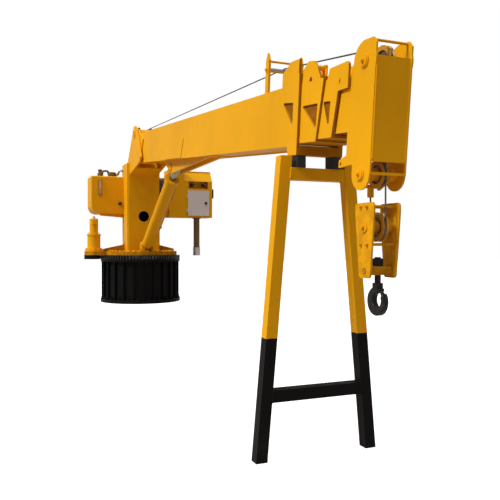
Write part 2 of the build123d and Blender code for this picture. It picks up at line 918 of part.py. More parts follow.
# Winch at the boom tail: side plates with tie bar, gearbox and end cap, the drum and the rope on it
winch_in = drum_len / 2 + drum_flange_t + winch_plate_gap
winch_out = winch_in + winch_plate_t
with BuildPart() as winch_frame:
    for side in (-1, 1):
        with BuildSketch(boom_side.offset(side * (winch_in + winch_plate_t / 2))):
            with Locations((winch_x, winch_z)):
                Circle(62)
            with Locations((tail_x, -lip)):
                Rectangle(20, 245, align=(Align.MAX, Align.MAX))
            make_hull()
            with Locations((winch_x, winch_z)):
                Circle(drum_shaft_r + fit, mode=Mode.SUBTRACT)
        extrude(amount=winch_plate_t / 2, both=True)
    with BuildSketch(boom_axle(tail_x - 24, -lip - 215)):
        Circle(14)
    extrude(amount=winch_in, both=True)
    with BuildSketch(boom_axle(winch_x, winch_z, winch_out)):
        Circle(winch_motor_r)
    extrude(amount=-winch_motor_len)
    with BuildSketch(boom_axle(winch_x, winch_z, -winch_out)):
        Circle(winch_motor_r - 36)
    extrude(amount=winch_motor_len / 3)
winch_frame.part.label = "winch_frame"
export_step(winch_frame.part, "parts/winch_frame.step")

with BuildPart() as winch_drum:
    with BuildSketch(boom_axle(winch_x, winch_z)):
        Circle(drum_r)
    extrude(amount=drum_len / 2, both=True)
    for side in (-1, 1):
        with BuildSketch(boom_axle(winch_x, winch_z, side * drum_len / 2)):
            Circle(drum_flange_r)
        extrude(amount=-side * drum_flange_t)
    with BuildSketch(boom_axle(winch_x, winch_z)):
        Circle(drum_shaft_r)
    extrude(amount=winch_out - seat_gap, both=True)
winch_drum.part.label = "winch_drum"
export_step(winch_drum.part, "parts/winch_drum.step")

wind_r = drum_r + rope_r + rope_seat


def wind_point(turn):
    angle = 2 * pi * turn
    here = boom_point(winch_x + wind_r * sin(angle), winch_z + wind_r * cos(angle))
    return here + Vector(0, wind_pitch * turn, 0)


with BuildPart() as rope_winding:
    with BuildLine() as wind_path:
        Line(wind_point(-wind_turns) - boom_dir * 2 * rope_r, wind_point(-wind_turns))
        for quarter in range(4 * wind_turns):
            turn = quarter / 4 - wind_turns
            ThreePointArc(wind_point(turn), wind_point(turn + 0.125), wind_point(turn + 0.25))
    with BuildSketch(Plane(origin=wind_path.wire() @ 0, z_dir=wind_path.wire() % 0)):
        Circle(rope_r)
    sweep()
rope_winding.part.label = "rope_winding"
export_step(rope_winding.part, "parts/rope_winding.step")
wind_dots = [wind_point(-k / 36) for k in range(36 * wind_turns)]
wind_least = min(
    (wind_dots[i] - wind_dots[j]).length for i in range(len(wind_dots)) for j in range(i + 18, len(wind_dots))
)

# Rope guide frame near the mouth of the base boom with its keeper bar, and the roller
roller_half = guide_half - guide_post_t / 2 - seat_gap
with BuildPart() as rope_guide:
    for side in (-1, 1):
        with BuildSketch(boom_side.offset(side * guide_half)):
            with BuildLine():
                Polyline(
                    (guide_x - guide_post_w / 2, -lip),
                    (guide_x + guide_post_w / 2, -lip),
                    (guide_x + guide_post_w / 2, guide_h - guide_post_w),
                    (guide_x, guide_h),
                    (guide_x - guide_post_w / 2, guide_h - guide_post_w),
                    close=True,
                )
            make_face()
        extrude(amount=guide_post_t / 2, both=True)
    for level, bar_r in ((roller_z, roller_pin_r), (roller_z + roller_pitch, keeper_r)):
        with BuildSketch(boom_axle(guide_x, level)):
            Circle(bar_r)
        extrude(amount=guide_half, both=True)
rope_guide.part.label = "rope_guide"
export_step(rope_guide.part, "parts/rope_guide.step")

with BuildPart() as guide_roller:
    with BuildSketch(boom_axle(guide_x, roller_z)):
        Circle(roller_r)
        Circle(roller_pin_r + fit, mode=Mode.SUBTRACT)
    extrude(amount=roller_half, both=True)
guide_roller.part.label = "guide_roller"
export_step(guide_roller.part, "parts/guide_roller.step")

# Boom head: side plates, face plate and the cross plates that carry on the inner section
head_out = sec4_half + head_plate_t
nose3_top = -boom_h / 2 + sec3_h / 2 + nose_t
nose3_deep = sec3_h + 2 * nose_t


def nose3_face(z):
    return nose3_front - nose_slant * (nose3_top - z) / nose3_deep


sec4_top = -boom_h / 2 + sec4_h / 2
sec4_bottom = -boom_h / 2 - sec4_h / 2
face_top = head_top - head_chamfer - face_drop
with BuildPart() as boom_head:
    for side in (-1, 1):
        with BuildSketch(boom_side.offset(side * (sec4_half + head_plate_t / 2))):
            with BuildLine():
                Polyline(
                    (nose3_face(wing_top) + wing_gap, wing_top),
                    (head_rear + 40, wing_top + 20),
                    (head_rear + 50, sec4_top),
                    (top_sheave_x - 105, top_sheave_z + 55),
                    (top_sheave_x, head_top),
                    (head_front - head_chamfer, head_top),
                    (head_front, head_top - head_chamfer),
                    (head_front, low_sheave_z),
                    (low_sheave_x - head_foot, low_sheave_z),
                    (low_sheave_x - head_foot, low_sheave_z + 60),
                    (head_rear - 40, low_sheave_z + 40),
                    (head_rear - 40, low_sheave_z + 90),
                    (head_rear + 50, low_sheave_z + 120),
                    (head_rear + 50, sec4_bottom - 10),
                    (nose3_face(sec4_bottom) + wing_gap, sec4_bottom - 10),
                    close=True,
                )
            make_face()
            with Locations((top_sheave_x, top_sheave_z)):
                Circle(head_top - top_sheave_z)
            with Locations((low_sheave_x, low_sheave_z)):
                Circle(head_foot)
        extrude(amount=head_plate_t / 2, both=True)
        for x, z in ((top_sheave_x, top_sheave_z), (low_sheave_x, low_sheave_z)):
            with BuildSketch(boom_axle(x, z, -side * head_out)):
                Circle(head_pin_r + 20)
            extrude(amount=side * boss_t)
    with BuildSketch(boom_side):
        with Locations((head_front, low_sheave_z + 75)):
            Rectangle(face_t, face_top - low_sheave_z - 75, align=(Align.MAX, Align.MIN))
        with Locations((head_front - head_chamfer - 12, head_top - 14)):
            Circle(keeper_r)
        with Locations((head_front, low_sheave_z - 6)):
            Rectangle(face_t, 18, align=(Align.MAX, Align.MIN))
        with Locations((head_rear, sec4_top)):
            Rectangle(70, wall, align=(Align.MIN, Align.MAX))
        with Locations((head_rear, sec4_bottom)):
            Rectangle(70, wall, align=(Align.MIN, Align.MIN))
    extrude(amount=sec4_half, both=True)
    for x, z in ((top_sheave_x, top_sheave_z), (low_sheave_x, low_sheave_z)):
        with BuildSketch(boom_axle(x, z)):
            Circle(head_pin_r + fit)
        extrude(amount=sec4_w, both=True, mode=Mode.SUBTRACT)
    with BuildSketch(boom_axle(head_rear - 15, low_sheave_z + 65)):
        Circle(12)
    extrude(amount=sec4_w, both=True, mode=Mode.SUBTRACT)
boom_head.part.label = "boom_head"
export_step(boom_head.part, "parts/boom_head.step")

# Axles of the head sheaves
with BuildPart() as head_axles:
    for x, z in ((top_sheave_x, top_sheave_z), (low_sheave_x, low_sheave_z)):
        with BuildSketch(boom_axle(x, z)):
            Circle(head_pin_r)
        extrude(amount=head_out + boss_t, both=True)
        for side in (-1, 1):
            with BuildSketch(boom_axle(x, z, side * (head_out + boss_t))):
                Circle(head_pin_r + 12)
            extrude(amount=-side * 6)
head_axles.part.label = "head_axles"
export_step(head_axles.part, "parts/head_axles.step")

# Grooved rope sheaves
for name, center, pitch_r, bore_r, hub_half in (
    ("top_sheave", boom_point(top_sheave_x, top_sheave_z), top_sheave_r, head_pin_r, sec4_half - seat_gap),
    ("low_sheave", low_axle, low_sheave_r, head_pin_r, yoke_in - seat_gap),
    ("block_sheave", Vector(block_x, 0, block_z), block_r, block_pin_r, cheek_gap / 2 - seat_gap),
):
    rim_out = pitch_r + sheave_flange
    rim_in = pitch_r - rope_r - 14
    with BuildPart() as sheave:
        with BuildSketch(Plane(origin=center, x_dir=(0, 1, 0), z_dir=(1, 0, 0))):
            with Locations((0, bore_r + fit)):
                Rectangle(2 * hub_half, sheave_hub_r - bore_r, align=(Align.CENTER, Align.MIN))
                Rectangle(12, rim_in - bore_r + 2, align=(Align.CENTER, Align.MIN))
            with Locations((0, rim_in)):
                Rectangle(sheave_w, rim_out - rim_in, align=(Align.CENTER, Align.MIN))
            with Locations((0, pitch_r)):
                Circle(rope_r + rope_seat, mode=Mode.SUBTRACT)
            with BuildLine():
                Polyline(
                    (-rope_r - rope_seat, pitch_r),
                    (rope_r + rope_seat, pitch_r),
                    (sheave_w / 2 - 3, rim_out + 1),
                    (-sheave_w / 2 + 3, rim_out + 1),
                    close=True,
                )
            make_face(mode=Mode.SUBTRACT)
        revolve(axis=Axis(center, (0, 1, 0)))
    sheave.part.label = name
    export_step(sheave.part, f"parts/{name}.step")

# Hoist rope: run along the boom, wrap over the head, the two falls and the bight under the block
run_start = winch_z + wind_r
run_z = roller_z + roller_r + rope_r + rope_seat
reach_x = top_sheave_x - guide_x
reach_z = top_sheave_z - run_z
lay = atan2(reach_z, reach_x) + atan2(top_sheave_r, sqrt(reach_x**2 + reach_z**2 - top_sheave_r**2))
wrap_x = top_sheave_x - top_sheave_r * sin(lay)
wrap_z = top_sheave_z + top_sheave_r * cos(lay)
with BuildPart() as rope_run:
    with BuildLine(boom_side) as run_path:
        FilletPolyline(
            (winch_x + rope_seat, run_start),
            (guide_x, run_z),
            (wrap_x - rope_seat, wrap_z),
            radius=roller_r + rope_r,
        )
    with BuildSketch(Plane(origin=run_path.wire() @ 0, z_dir=run_path.wire() % 0)):
        Circle(rope_r)
    sweep()
rope_run.part.label = "rope_run"
export_step(rope_run.part, "parts/rope_run.step")

with BuildPart() as rope_wrap:
    with BuildLine(boom_side) as wrap_path:
        CenterArc((top_sheave_x, top_sheave_z), top_sheave_r, 90 + degrees(lay), -90 - degrees(lay))
        Line(
            (top_sheave_x + top_sheave_r, top_sheave_z),
            (top_sheave_x + top_sheave_r, low_sheave_z + (low_sheave_r + rope_r) * sin(tilt) + rope_seat),
        )
    with BuildSketch(Plane(origin=wrap_path.wire() @ 0, z_dir=wrap_path.wire() % 0)):
        Circle(rope_r)
    sweep()
rope_wrap.part.label = "rope_wrap"
export_step(rope_wrap.part, "parts/rope_wrap.step")

anchor_z = low_axle.Z - anchor_drop
with BuildPart() as rope_falls:
    for x, top in ((live_x, low_axle.Z), (dead_x, anchor_z - socket_len)):
        with Locations((x, 0, block_z + rope_seat)):
            Cylinder(rope_r, top - block_z - 2 * rope_seat, align=(Align.CENTER, Align.CENTER, Align.MIN))
rope_falls.part.label = "rope_falls"
export_step(rope_falls.part, "parts/rope_falls.step")

with BuildPart() as rope_bight:
    with BuildLine(Plane.XZ) as bight_path:
        CenterArc((block_x, block_z), block_r, 180, 180)
    with BuildSketch(Plane(origin=bight_path.wire() @ 0, z_dir=bight_path.wire() % 0)):
        Circle(rope_r)
    sweep()
rope_bight.part.label = "rope_bight"
export_step(rope_bight.part, "parts/rope_bight.step")

# Swinging yoke on the lower head axle, with the anchor pin and socket of the rope's dead end
with BuildPart() as rope_yoke:
    for side in (-1, 1):
        with BuildSketch(Plane.XZ.offset(side * (yoke_in + yoke_t / 2))):
            with Locations((low_axle.X, low_axle.Z)):
                Circle(yoke_r)
            with Locations((dead_x, anchor_z)):
                Circle(20)
            make_hull()
        extrude(amount=yoke_t / 2, both=True)
        with BuildSketch(Plane.XZ.offset(side * (yoke_in + yoke_t))):
            with Locations((low_axle.X, low_axle.Z)):
                Circle(sheave_hub_r)
        extrude(amount=side * (sec4_half - seat_gap - yoke_in - yoke_t))
    with BuildSketch(Plane.XZ):
        with Locations((dead_x, anchor_z)):
            Circle(anchor_r)
    extrude(amount=yoke_in, both=True)
    with BuildSketch(Plane.XZ):
        with Locations((dead_x, anchor_z)):
            Circle(anchor_r + 8)
        with Locations((dead_x, anchor_z - socket_len)):
            Rectangle(socket_w, 4, align=(Align.CENTER, Align.MIN))
        make_hull()
    extrude(amount=socket_w / 2, both=True)
    with BuildSketch(Plane.XZ):
        with Locations((low_axle.X, low_axle.Z)):
            Circle(head_pin_r + fit)
    extrude(amount=sec4_w, both=True, mode=Mode.SUBTRACT)
rope_yoke.part.label = "rope_yoke"
export_step(rope_yoke.part, "parts/rope_yoke.step")

# Hook block: tapered cheeks joined by tie bolts, with the sheave pin
with BuildPart() as block_frame:
    for side in (-1, 1):
        with BuildSketch(Plane.XZ.offset(side * (cheek_gap / 2 + block_cheek_t / 2))):
            with BuildLine():
                Polyline(
                    (block_x - block_top_w / 2, block_z + block_top),
                    (block_x + block_top_w / 2, block_z + block_top),
                    (block_x + block_top_w / 2, block_z + block_top - 60),
                    (block_x + block_bottom_w / 2, block_z - block_bottom),
                    (block_x - block_bottom_w / 2, block_z - block_bottom),
                    (block_x - block_top_w / 2, block_z + block_top - 60),
                    close=True,
                )
            make_face()
            fillet(vertices(), 24)
            with Locations((block_x, cross_z)):
                Circle(cross_pin_r + fit, mode=Mode.SUBTRACT)
        extrude(amount=block_cheek_t / 2, both=True)
    with BuildSketch(Plane.XZ):
        with Locations((block_x, block_z + block_top - 24), (block_x, block_z - 110)):
            with GridLocations(bar_spread, 1, 2, 1):
                Circle(bar_r)
    extrude(amount=cheek_gap / 2 + block_cheek_t + 6, both=True)
    with BuildSketch(Plane.XZ):
        with Locations((block_x, block_z)):
            Circle(block_pin_r)
    extrude(amount=cheek_gap / 2, both=True)
    for side in (-1, 1):
        with BuildSketch(Plane.XZ.offset(side * (cheek_gap / 2 + block_cheek_t))):
            with Locations((block_x, block_z)):
                Circle(block_pin_r + 14)
        extrude(amount=side * 8)
block_frame.part.label = "block_frame"
export_step(block_frame.part, "parts/block_frame.step")

# Crosshead that tilts in the cheeks and lets the hook turn
with BuildPart() as crosshead:
    with Locations((block_x, 0, cross_z)):
        Box(2 * cross_r + 16, cheek_gap - 2 * seat_gap, 2 * cross_r)
    fillet(crosshead.edges().filter_by(Axis.Y), 8)
    with BuildSketch(Plane.XZ):
        with Locations((block_x, cross_z)):
            Circle(cross_pin_r)
    extrude(amount=cheek_gap / 2 + block_cheek_t + 4, both=True)
    with Locations((block_x, 0, cross_z)):
        Cylinder(shank_r + fit, 3 * cross_r, mode=Mode.SUBTRACT)
crosshead.part.label = "crosshead"
export_step(crosshead.part, "parts/crosshead.step")

# Lifting hook with its shank, nut and latch ears
latch_x = block_x + hook_neck_w / 2 + 10
latch_z = hook_z + hook_out_r - 18
nut_z = cross_z + cross_r + seat_gap
with BuildPart() as hook:
    with BuildSketch(Plane.XZ):
        with Locations((block_x, hook_z)):
            Circle(hook_out_r)
        with Locations((block_x, hook_z + hook_out_r - 30)):
            Rectangle(hook_neck_w, 54, align=(Align.CENTER, Align.MIN))
        with Locations((block_x + hook_shift, hook_z + 8)):
            Circle(hook_in_r, mode=Mode.SUBTRACT)
        with Locations((block_x + hook_neck_w / 2, hook_z + 30)):
            Rectangle(2 * hook_out_r, 2 * hook_out_r, align=(Align.MIN, Align.MIN), mode=Mode.SUBTRACT)
    extrude(amount=hook_t / 2, both=True)
    fillet(hook.edges().filter_by(GeomType.CIRCLE), 9)
    with Locations((block_x, 0, hook_z + hook_out_r)):
        Cylinder(shank_r, nut_z + nut_h + 8 - latch_z - 18, align=(Align.CENTER, Align.CENTER, Align.MIN))
    with BuildSketch(Plane.XY.offset(nut_z)):
        with Locations((block_x, 0)):
            RegularPolygon(nut_r, 6)
    extrude(amount=nut_h)
    for side in (-1, 1):
        with BuildSketch(Plane.XZ.offset(side * (latch_w / 2 + seat_gap + 3))):
            with Locations((latch_x, latch_z)):
                Circle(9)
            with Locations((block_x + hook_neck_w / 2 - 4, latch_z)):
                Rectangle(2, 18)
            make_hull()
        extrude(amount=3, both=True)
    with BuildSketch(Plane.XZ):
        with Locations((latch_x, latch_z)):
            Circle(4)
    extrude(amount=latch_w / 2 + 4, both=True)
hook.part.label = "hook"
export_step(hook.part, "parts/hook.step")

latch_len = latch_z - hook_z - 30
with BuildPart() as hook_latch:
    with BuildSketch(Plane.XZ):
        with Locations((latch_x, latch_z)):
            Circle(8)
            with Locations(Rotation(0, 0, -57)):
                with Locations((latch_len / 2 - 1, 0)):
                    Rectangle(latch_len - 2, latch_t)
            Circle(4 + fit, mode=Mode.SUBTRACT)
    extrude(amount=latch_w / 2, both=True)
hook_latch.part.label = "hook_latch"
export_step(hook_latch.part, "parts/hook_latch.step")

# Oil tank on the side of the tower, its filler, filter and level gauge
tank_mid_x = tank_front - tank_depth / 2
tank_out = -tower_w / 2 - tank_w
with BuildPart() as oil_tank:
    with BuildSketch(Plane.YZ.offset(tank_front)):
        with Locations((-tower_w / 2, tank_z)):
            Rectangle(tank_w, tank_h, align=(Align.MAX, Align.MIN))
    extrude(amount=-tank_depth)
    low_edge = oil_tank.edges().filter_by(Axis.X).sort_by(Axis.Z)[:2].sort_by(Axis.Y)[0]
    fillet(low_edge, tank_round)
    fillet(oil_tank.faces().sort_by(Axis.Z)[-1].edges(), 18)
oil_tank.part.label = "oil_tank"
export_step(oil_tank.part, "parts/oil_tank.step")

with BuildPart() as tank_fittings:
    with Locations((tank_mid_x + 90, tank_out + 160, tank_z + tank_h)):
        Cylinder(44, 64, align=(Align.CENTER, Align.CENTER, Align.MIN))
    with Locations((tank_mid_x + 60, tank_out + 360, tank_z + tank_h)):
        Cylinder(66, 84, align=(Align.CENTER, Align.CENTER, Align.MIN))
    fillet(tank_fittings.faces().filter_by(Axis.Z).sort_by(Axis.Z)[-2:].edges(), 10)
    with Locations((tank_front, tank_out + gauge_in, tank_z + tank_h - 190)):
        Box(18, 54, 250, align=(Align.MIN, Align.CENTER, Align.CENTER))
tank_fittings.part.label = "tank_fittings"
export_step(tank_fittings.part, "parts/tank_fittings.step")

# Valve block on the other side of the tower
with BuildPart() as valve_block:
    with Locations((tower_mid, tower_w / 2, valve_top)):
        Box(valve_depth, valve_w, valve_h, align=(Align.CENTER, Align.MIN, Align.MAX))
    for row in range(4):
        with BuildSketch(Plane.YZ.offset(tower_mid + valve_depth / 2)):
            with Locations((tower_w / 2 + valve_w / 2, valve_top - 60 - row * 120)):
                Circle(34)
        extrude(amount=60)
valve_block.part.label = "valve_block"
export_step(valve_block.part, "parts/valve_block.step")

# Control cabinet with its door hinges, lever shaft and grab handle
cabinet_mid = cabinet_in + cabinet_w / 2
cabinet_back = cabinet_front - cabinet_depth
bay_z = cabinet_z + bay_rise
door_z = cabinet_z + 30
opening_w = door_w - 40
opening_h = door_h - 40
hinge_x = cabinet_front + door_gap + door_t / 2
hinge_y = cabinet_mid - door_w / 2 - 12
knuckle_levels = (door_z + 70, door_z + door_h - 70 - knuckle_h)
cabinet_out = cabinet_in + cabinet_w
wing_w = cabinet_in - wing_in
lever_x = cabinet_front - 70
lever_z = bay_z + bay_h / 2
with BuildPart() as cabinet:
    with BuildSketch(Plane.XZ.offset(-cabinet_in)):
        with BuildLine():
            Polyline(
                (cabinet_back, cabinet_z),
                (cabinet_front, cabinet_z),
                (cabinet_front, cabinet_z + cabinet_h - hood_drop),
                (cabinet_front - hood_back, cabinet_z + cabinet_h),
                (cabinet_back, cabinet_z + cabinet_h),
                close=True,
            )
        make_face()
    extrude(amount=-cabinet_w)
    with BuildSketch(Plane.XZ.offset(-cabinet_in - cabinet_wall)):
        with BuildLine():
            Polyline(
                (cabinet_back + cabinet_wall, cabinet_z + cabinet_wall),
                (cabinet_front - cabinet_wall, cabinet_z + cabinet_wall),
                (cabinet_front - cabinet_wall, cabinet_z + cabinet_h - hood_drop - cabinet_wall / 2),
                (cabinet_front - hood_back - cabinet_wall / 2, cabinet_z + cabinet_h - cabinet_wall),
                (cabinet_back + cabinet_wall, cabinet_z + cabinet_h - cabinet_wall),
                close=True,
            )
        make_face()
    extrude(amount=-cabinet_w + 2 * cabinet_wall, mode=Mode.SUBTRACT)
    with BuildSketch(Plane.YZ.offset(cabinet_front)):
        with Locations((cabinet_mid, door_z + door_h / 2)):
            Rectangle(opening_w, opening_h)
        with Locations((cabinet_mid, bay_z)):
            Rectangle(opening_w, bay_h, align=(Align.CENTER, Align.MIN))
    extrude(amount=-2 * cabinet_wall, mode=Mode.SUBTRACT)
    for level in knuckle_levels:
        with Locations((cabinet_front, hinge_y, level - seat_gap)):
            Box(door_gap + door_t / 2, 16, 26, align=(Align.MIN, Align.CENTER, Align.MAX))
        with Locations((hinge_x, hinge_y, level - seat_gap)):
            Cylinder(9, 26, align=(Align.CENTER, Align.CENTER, Align.MAX))
        with Locations((hinge_x, hinge_y, level - seat_gap)):
            Cylinder(door_pin_r, knuckle_h + 6, align=(Align.CENTER, Align.CENTER, Align.MIN))
    with Locations((cabinet_back + cabinet_wall / 2, cabinet_mid, bay_z - 2 * cabinet_wall)):
        Box(
            lever_x - bank_gap - cabinet_back - cabinet_wall / 2,
            cabinet_w - cabinet_wall,
            cabinet_z + cabinet_h - cabinet_wall / 2 - bay_z + 2 * cabinet_wall,
            align=(Align.MIN, Align.CENTER, Align.MIN),
        )
        Box(
            cabinet_depth - cabinet_wall,
            cabinet_w - cabinet_wall,
            cabinet_wall,
            align=(Align.MIN, Align.CENTER, Align.MIN),
        )
    with BuildSketch(Plane.XZ.offset(-cabinet_mid)):
        with Locations((lever_x, lever_z)):
            Circle(lever_pin_r)
    extrude(amount=cabinet_w / 2 - cabinet_wall / 2, both=True)
    with Locations((cabinet_front - 90, cabinet_out, bay_z)):
        Box(18, 50, 18, align=(Align.CENTER, Align.MIN, Align.CENTER))
    with Locations((cabinet_front - 90, cabinet_out, bay_z - 150)):
        Box(18, 50, 18, align=(Align.CENTER, Align.MIN, Align.CENTER))
    with Locations((cabinet_front - 90, cabinet_out + 50, bay_z + 9)):
        Box(18, 18, 168, align=(Align.CENTER, Align.MAX, Align.MAX))
cabinet.part.label = "cabinet"
export_step(cabinet.part, "parts/cabinet.step")

# Sealed side box that carries the cabinet on two arms from the tower
with BuildPart() as side_box:
    with Locations((cabinet_back, cabinet_in, cabinet_z)):
        Box(cabinet_depth, wing_w, cabinet_h, align=(Align.MIN, Align.MAX, Align.MIN))
    with Locations((cabinet_back + cabinet_wall, cabinet_in - cabinet_wall, cabinet_z + cabinet_wall)):
        Box(
            cabinet_depth - 2 * cabinet_wall,
            wing_w - 2 * cabinet_wall,
            cabinet_h - 2 * cabinet_wall,
            align=(Align.MIN, Align.MAX, Align.MIN),
            mode=Mode.SUBTRACT,
        )
    with Locations(
        (cabinet_back + arm_size / 2, tower_w / 2, cabinet_z + 100),
        (cabinet_back + arm_size / 2, tower_w / 2, cabinet_z + cabinet_h - 160),
    ):
        Box(arm_size, wing_in - tower_w / 2, arm_size, align=(Align.CENTER, Align.MIN, Align.CENTER))
side_box.part.label = "side_box"
export_step(side_box.part, "parts/side_box.step")

# Cabinet door on the two hinge pins, and its turn knob
knob_y = cabinet_mid + door_w / 2 - 60
knob_z = door_z + door_h / 2
with BuildPart() as door:
    with BuildSketch(Plane.YZ.offset(cabinet_front + door_gap)):
        with Locations((cabinet_mid, door_z + door_h / 2)):
            RectangleRounded(door_w, door_h, 16)
        with Locations((knob_y, knob_z)):
            Circle(10 + fit, mode=Mode.SUBTRACT)
    extrude(amount=door_t)
    for level in knuckle_levels:
        with Locations((hinge_x, hinge_y, level)):
            Cylinder(9, knuckle_h, align=(Align.CENTER, Align.CENTER, Align.MIN))
        with Locations((hinge_x, hinge_y, level)):
            Box(8, 24, knuckle_h, align=(Align.CENTER, Align.MIN, Align.MIN))
        with Locations((hinge_x, hinge_y, level)):
            Cylinder(
                door_pin_r + fit, knuckle_h, align=(Align.CENTER, Align.CENTER, Align.MIN), mode=Mode.SUBTRACT
            )
door.part.label = "door"
export_step(door.part, "parts/door.step")

with BuildPart() as door_knob:
    with BuildSketch(Plane.YZ.offset(cabinet_front + door_gap + door_t + seat_gap)):
        with Locations((knob_y, knob_z)):
            Circle(24)
    extrude(amount=16)
    with BuildSketch(Plane.YZ.offset(cabinet_front + door_gap + door_t + seat_gap + 16)):
        with Locations((knob_y, knob_z)):
            SlotOverall(44, 14, rotation=90)
    extrude(amount=14)
    with BuildSketch(Plane.YZ.offset(cabinet_front + door_gap)):
        with Locations((knob_y, knob_z)):
            Circle(10)
    extrude(amount=door_t + seat_gap)
door_knob.part.label = "door_knob"
export_step(door_knob.part, "parts/door_knob.step")

# Control levers on the shaft in the cabinet bay
for index, y in enumerate((cabinet_mid - lever_spread, cabinet_mid + lever_spread)):
    with BuildPart() as lever:
        with BuildSketch(Plane.XZ.offset(-y)):
            with Locations((lever_x, lever_z)):
                Circle(14)
        extrude(amount=11, both=True)
        with BuildSketch(Plane.YZ.offset(lever_x + 8)):
            with Locations((y, lever_z)):
                Circle(6)
        extrude(amount=130)
        with Locations((lever_x + 140, y, lever_z)):
            Sphere(17)
        with BuildSketch(Plane.XZ.offset(-y)):
            with Locations((lever_x, lever_z)):
                Circle(lever_pin_r + fit)
        extrude(amount=12, both=True, mode=Mode.SUBTRACT)
    lever.part.label = f"lever_{index + 1}"
    export_step(lever.part, f"parts/lever_{index + 1}.step")

# Return pipe under the cabinet with its end coupling
with BuildPart() as return_pipe:
    with Locations((0, cabinet_mid + 15, cabinet_z)):
        Cylinder(pipe_r, pipe_len, align=(Align.CENTER, Align.CENTER, Align.MAX))
    with Locations((0, cabinet_mid + 15, cabinet_z - pipe_len)):
        Cylinder(pipe_r + 6, 150, align=(Align.CENTER, Align.CENTER, Align.MIN))
    with Locations((0, cabinet_mid + 15, cabinet_z)):
        Cylinder(pipe_r + 24, 14, align=(Align.CENTER, Align.CENTER, Align.MAX))
return_pipe.part.label = "return_pipe"
export_step(return_pipe.part, "parts/return_pipe.step")

# Boom rest: two leaning legs, head bar, cross bar and the pads under the base collar
seat_x = (rest_x - pivot_x + (boom_h + collar_drop) * sin(tilt)) / cos(tilt)
seat_z = boom_point(seat_x, -boom_h - collar_drop).Z
rest_top_z = seat_z - rest_head_gap
rest_bar_top = seat_z - rest_bar_drop
lean_rate = (rest_foot_half - rest_top_half) / (rest_top_z - rest_foot_z)


def leg_inner(z):
    return rest_foot_half - lean_rate * (z - rest_foot_z) - rest_tube / 2


hollow_top = rest_top_z - rest_wall
with BuildPart() as rest_legs:
    for side in (-1, 1):
        with BuildSketch(Plane.YZ.offset(rest_x)):
            with BuildLine():
                Polyline(
                    (side * leg_inner(rest_foot_z), rest_foot_z),
                    (side * (leg_inner(rest_foot_z) + rest_tube), rest_foot_z),
                    (side * (leg_inner(rest_top_z) + rest_tube), rest_top_z),
                    (side * leg_inner(rest_top_z), rest_top_z),
                    close=True,
                )
            make_face()
        extrude(amount=rest_tube / 2, both=True)
        with BuildSketch(Plane.YZ.offset(rest_x)):
            with BuildLine():
                Polyline(
                    (side * (leg_inner(rest_foot_z) + rest_wall), rest_foot_z),
                    (side * (leg_inner(rest_foot_z) + rest_tube - rest_wall), rest_foot_z),
                    (side * (leg_inner(hollow_top) + rest_tube - rest_wall), hollow_top),
                    (side * (leg_inner(hollow_top) + rest_wall), hollow_top),
                    close=True,
                )
            make_face()
        extrude(amount=rest_tube / 2 - rest_wall, both=True, mode=Mode.SUBTRACT)
rest_legs.part.label = "rest_legs"
export_step(rest_legs.part, "parts/rest_legs.step")

with BuildPart() as rest_bars:
    for top in (rest_bar_top, rest_cross_z + rest_tube / 2):
        with BuildSketch(Plane.YZ.offset(rest_x)):
            with BuildLine():
                Polyline(
                    (-leg_inner(top - rest_tube), top - rest_tube),
                    (leg_inner(top - rest_tube), top - rest_tube),
                    (leg_inner(top), top),
                    (-leg_inner(top), top),
                    close=True,
                )
            make_face()
            with BuildLine():
                Polyline(
                    (-leg_inner(top - rest_wall), top - rest_wall),
                    (leg_inner(top - rest_wall), top - rest_wall),
                    (leg_inner(top - rest_tube + rest_wall), top - rest_tube + rest_wall),
                    (-leg_inner(top - rest_tube + rest_wall), top - rest_tube + rest_wall),
                    close=True,
                )
            make_face(mode=Mode.SUBTRACT)
        extrude(amount=rest_tube / 2 - rest_wall, both=True)
        for side in (-1, 1):
            with BuildSketch(Plane.YZ.offset(rest_x + side * (rest_tube / 2 - rest_wall))):
                with BuildLine():
                    Polyline(
                        (-leg_inner(top - rest_tube), top - rest_tube),
                        (leg_inner(top - rest_tube), top - rest_tube),
                        (leg_inner(top), top),
                        (-leg_inner(top), top),
                        close=True,
                    )
                make_face()
            extrude(amount=side * rest_wall)
rest_bars.part.label = "rest_bars"
export_step(rest_bars.part, "parts/rest_bars.step")

with BuildPart() as rest_pads:
    for side in (-1, 1):
        with BuildSketch(Plane.XZ.offset(-side * rest_pad_half)):
            with BuildLine():
                Polyline(
                    (rest_x - rest_pad_len / 2, rest_bar_top),
                    (rest_x + rest_pad_len / 2, rest_bar_top),
                    (rest_x + rest_pad_len / 2, seat_z - rest_clear - tan(tilt) * rest_pad_len / 2),
                    (rest_x - rest_pad_len / 2, seat_z - rest_clear + tan(tilt) * rest_pad_len / 2),
                    close=True,
                )
            make_face()
        extrude(amount=rest_pad_w / 2, both=True)
rest_pads.part.label = "rest_pads"
export_step(rest_pads.part, "parts/rest_pads.step")
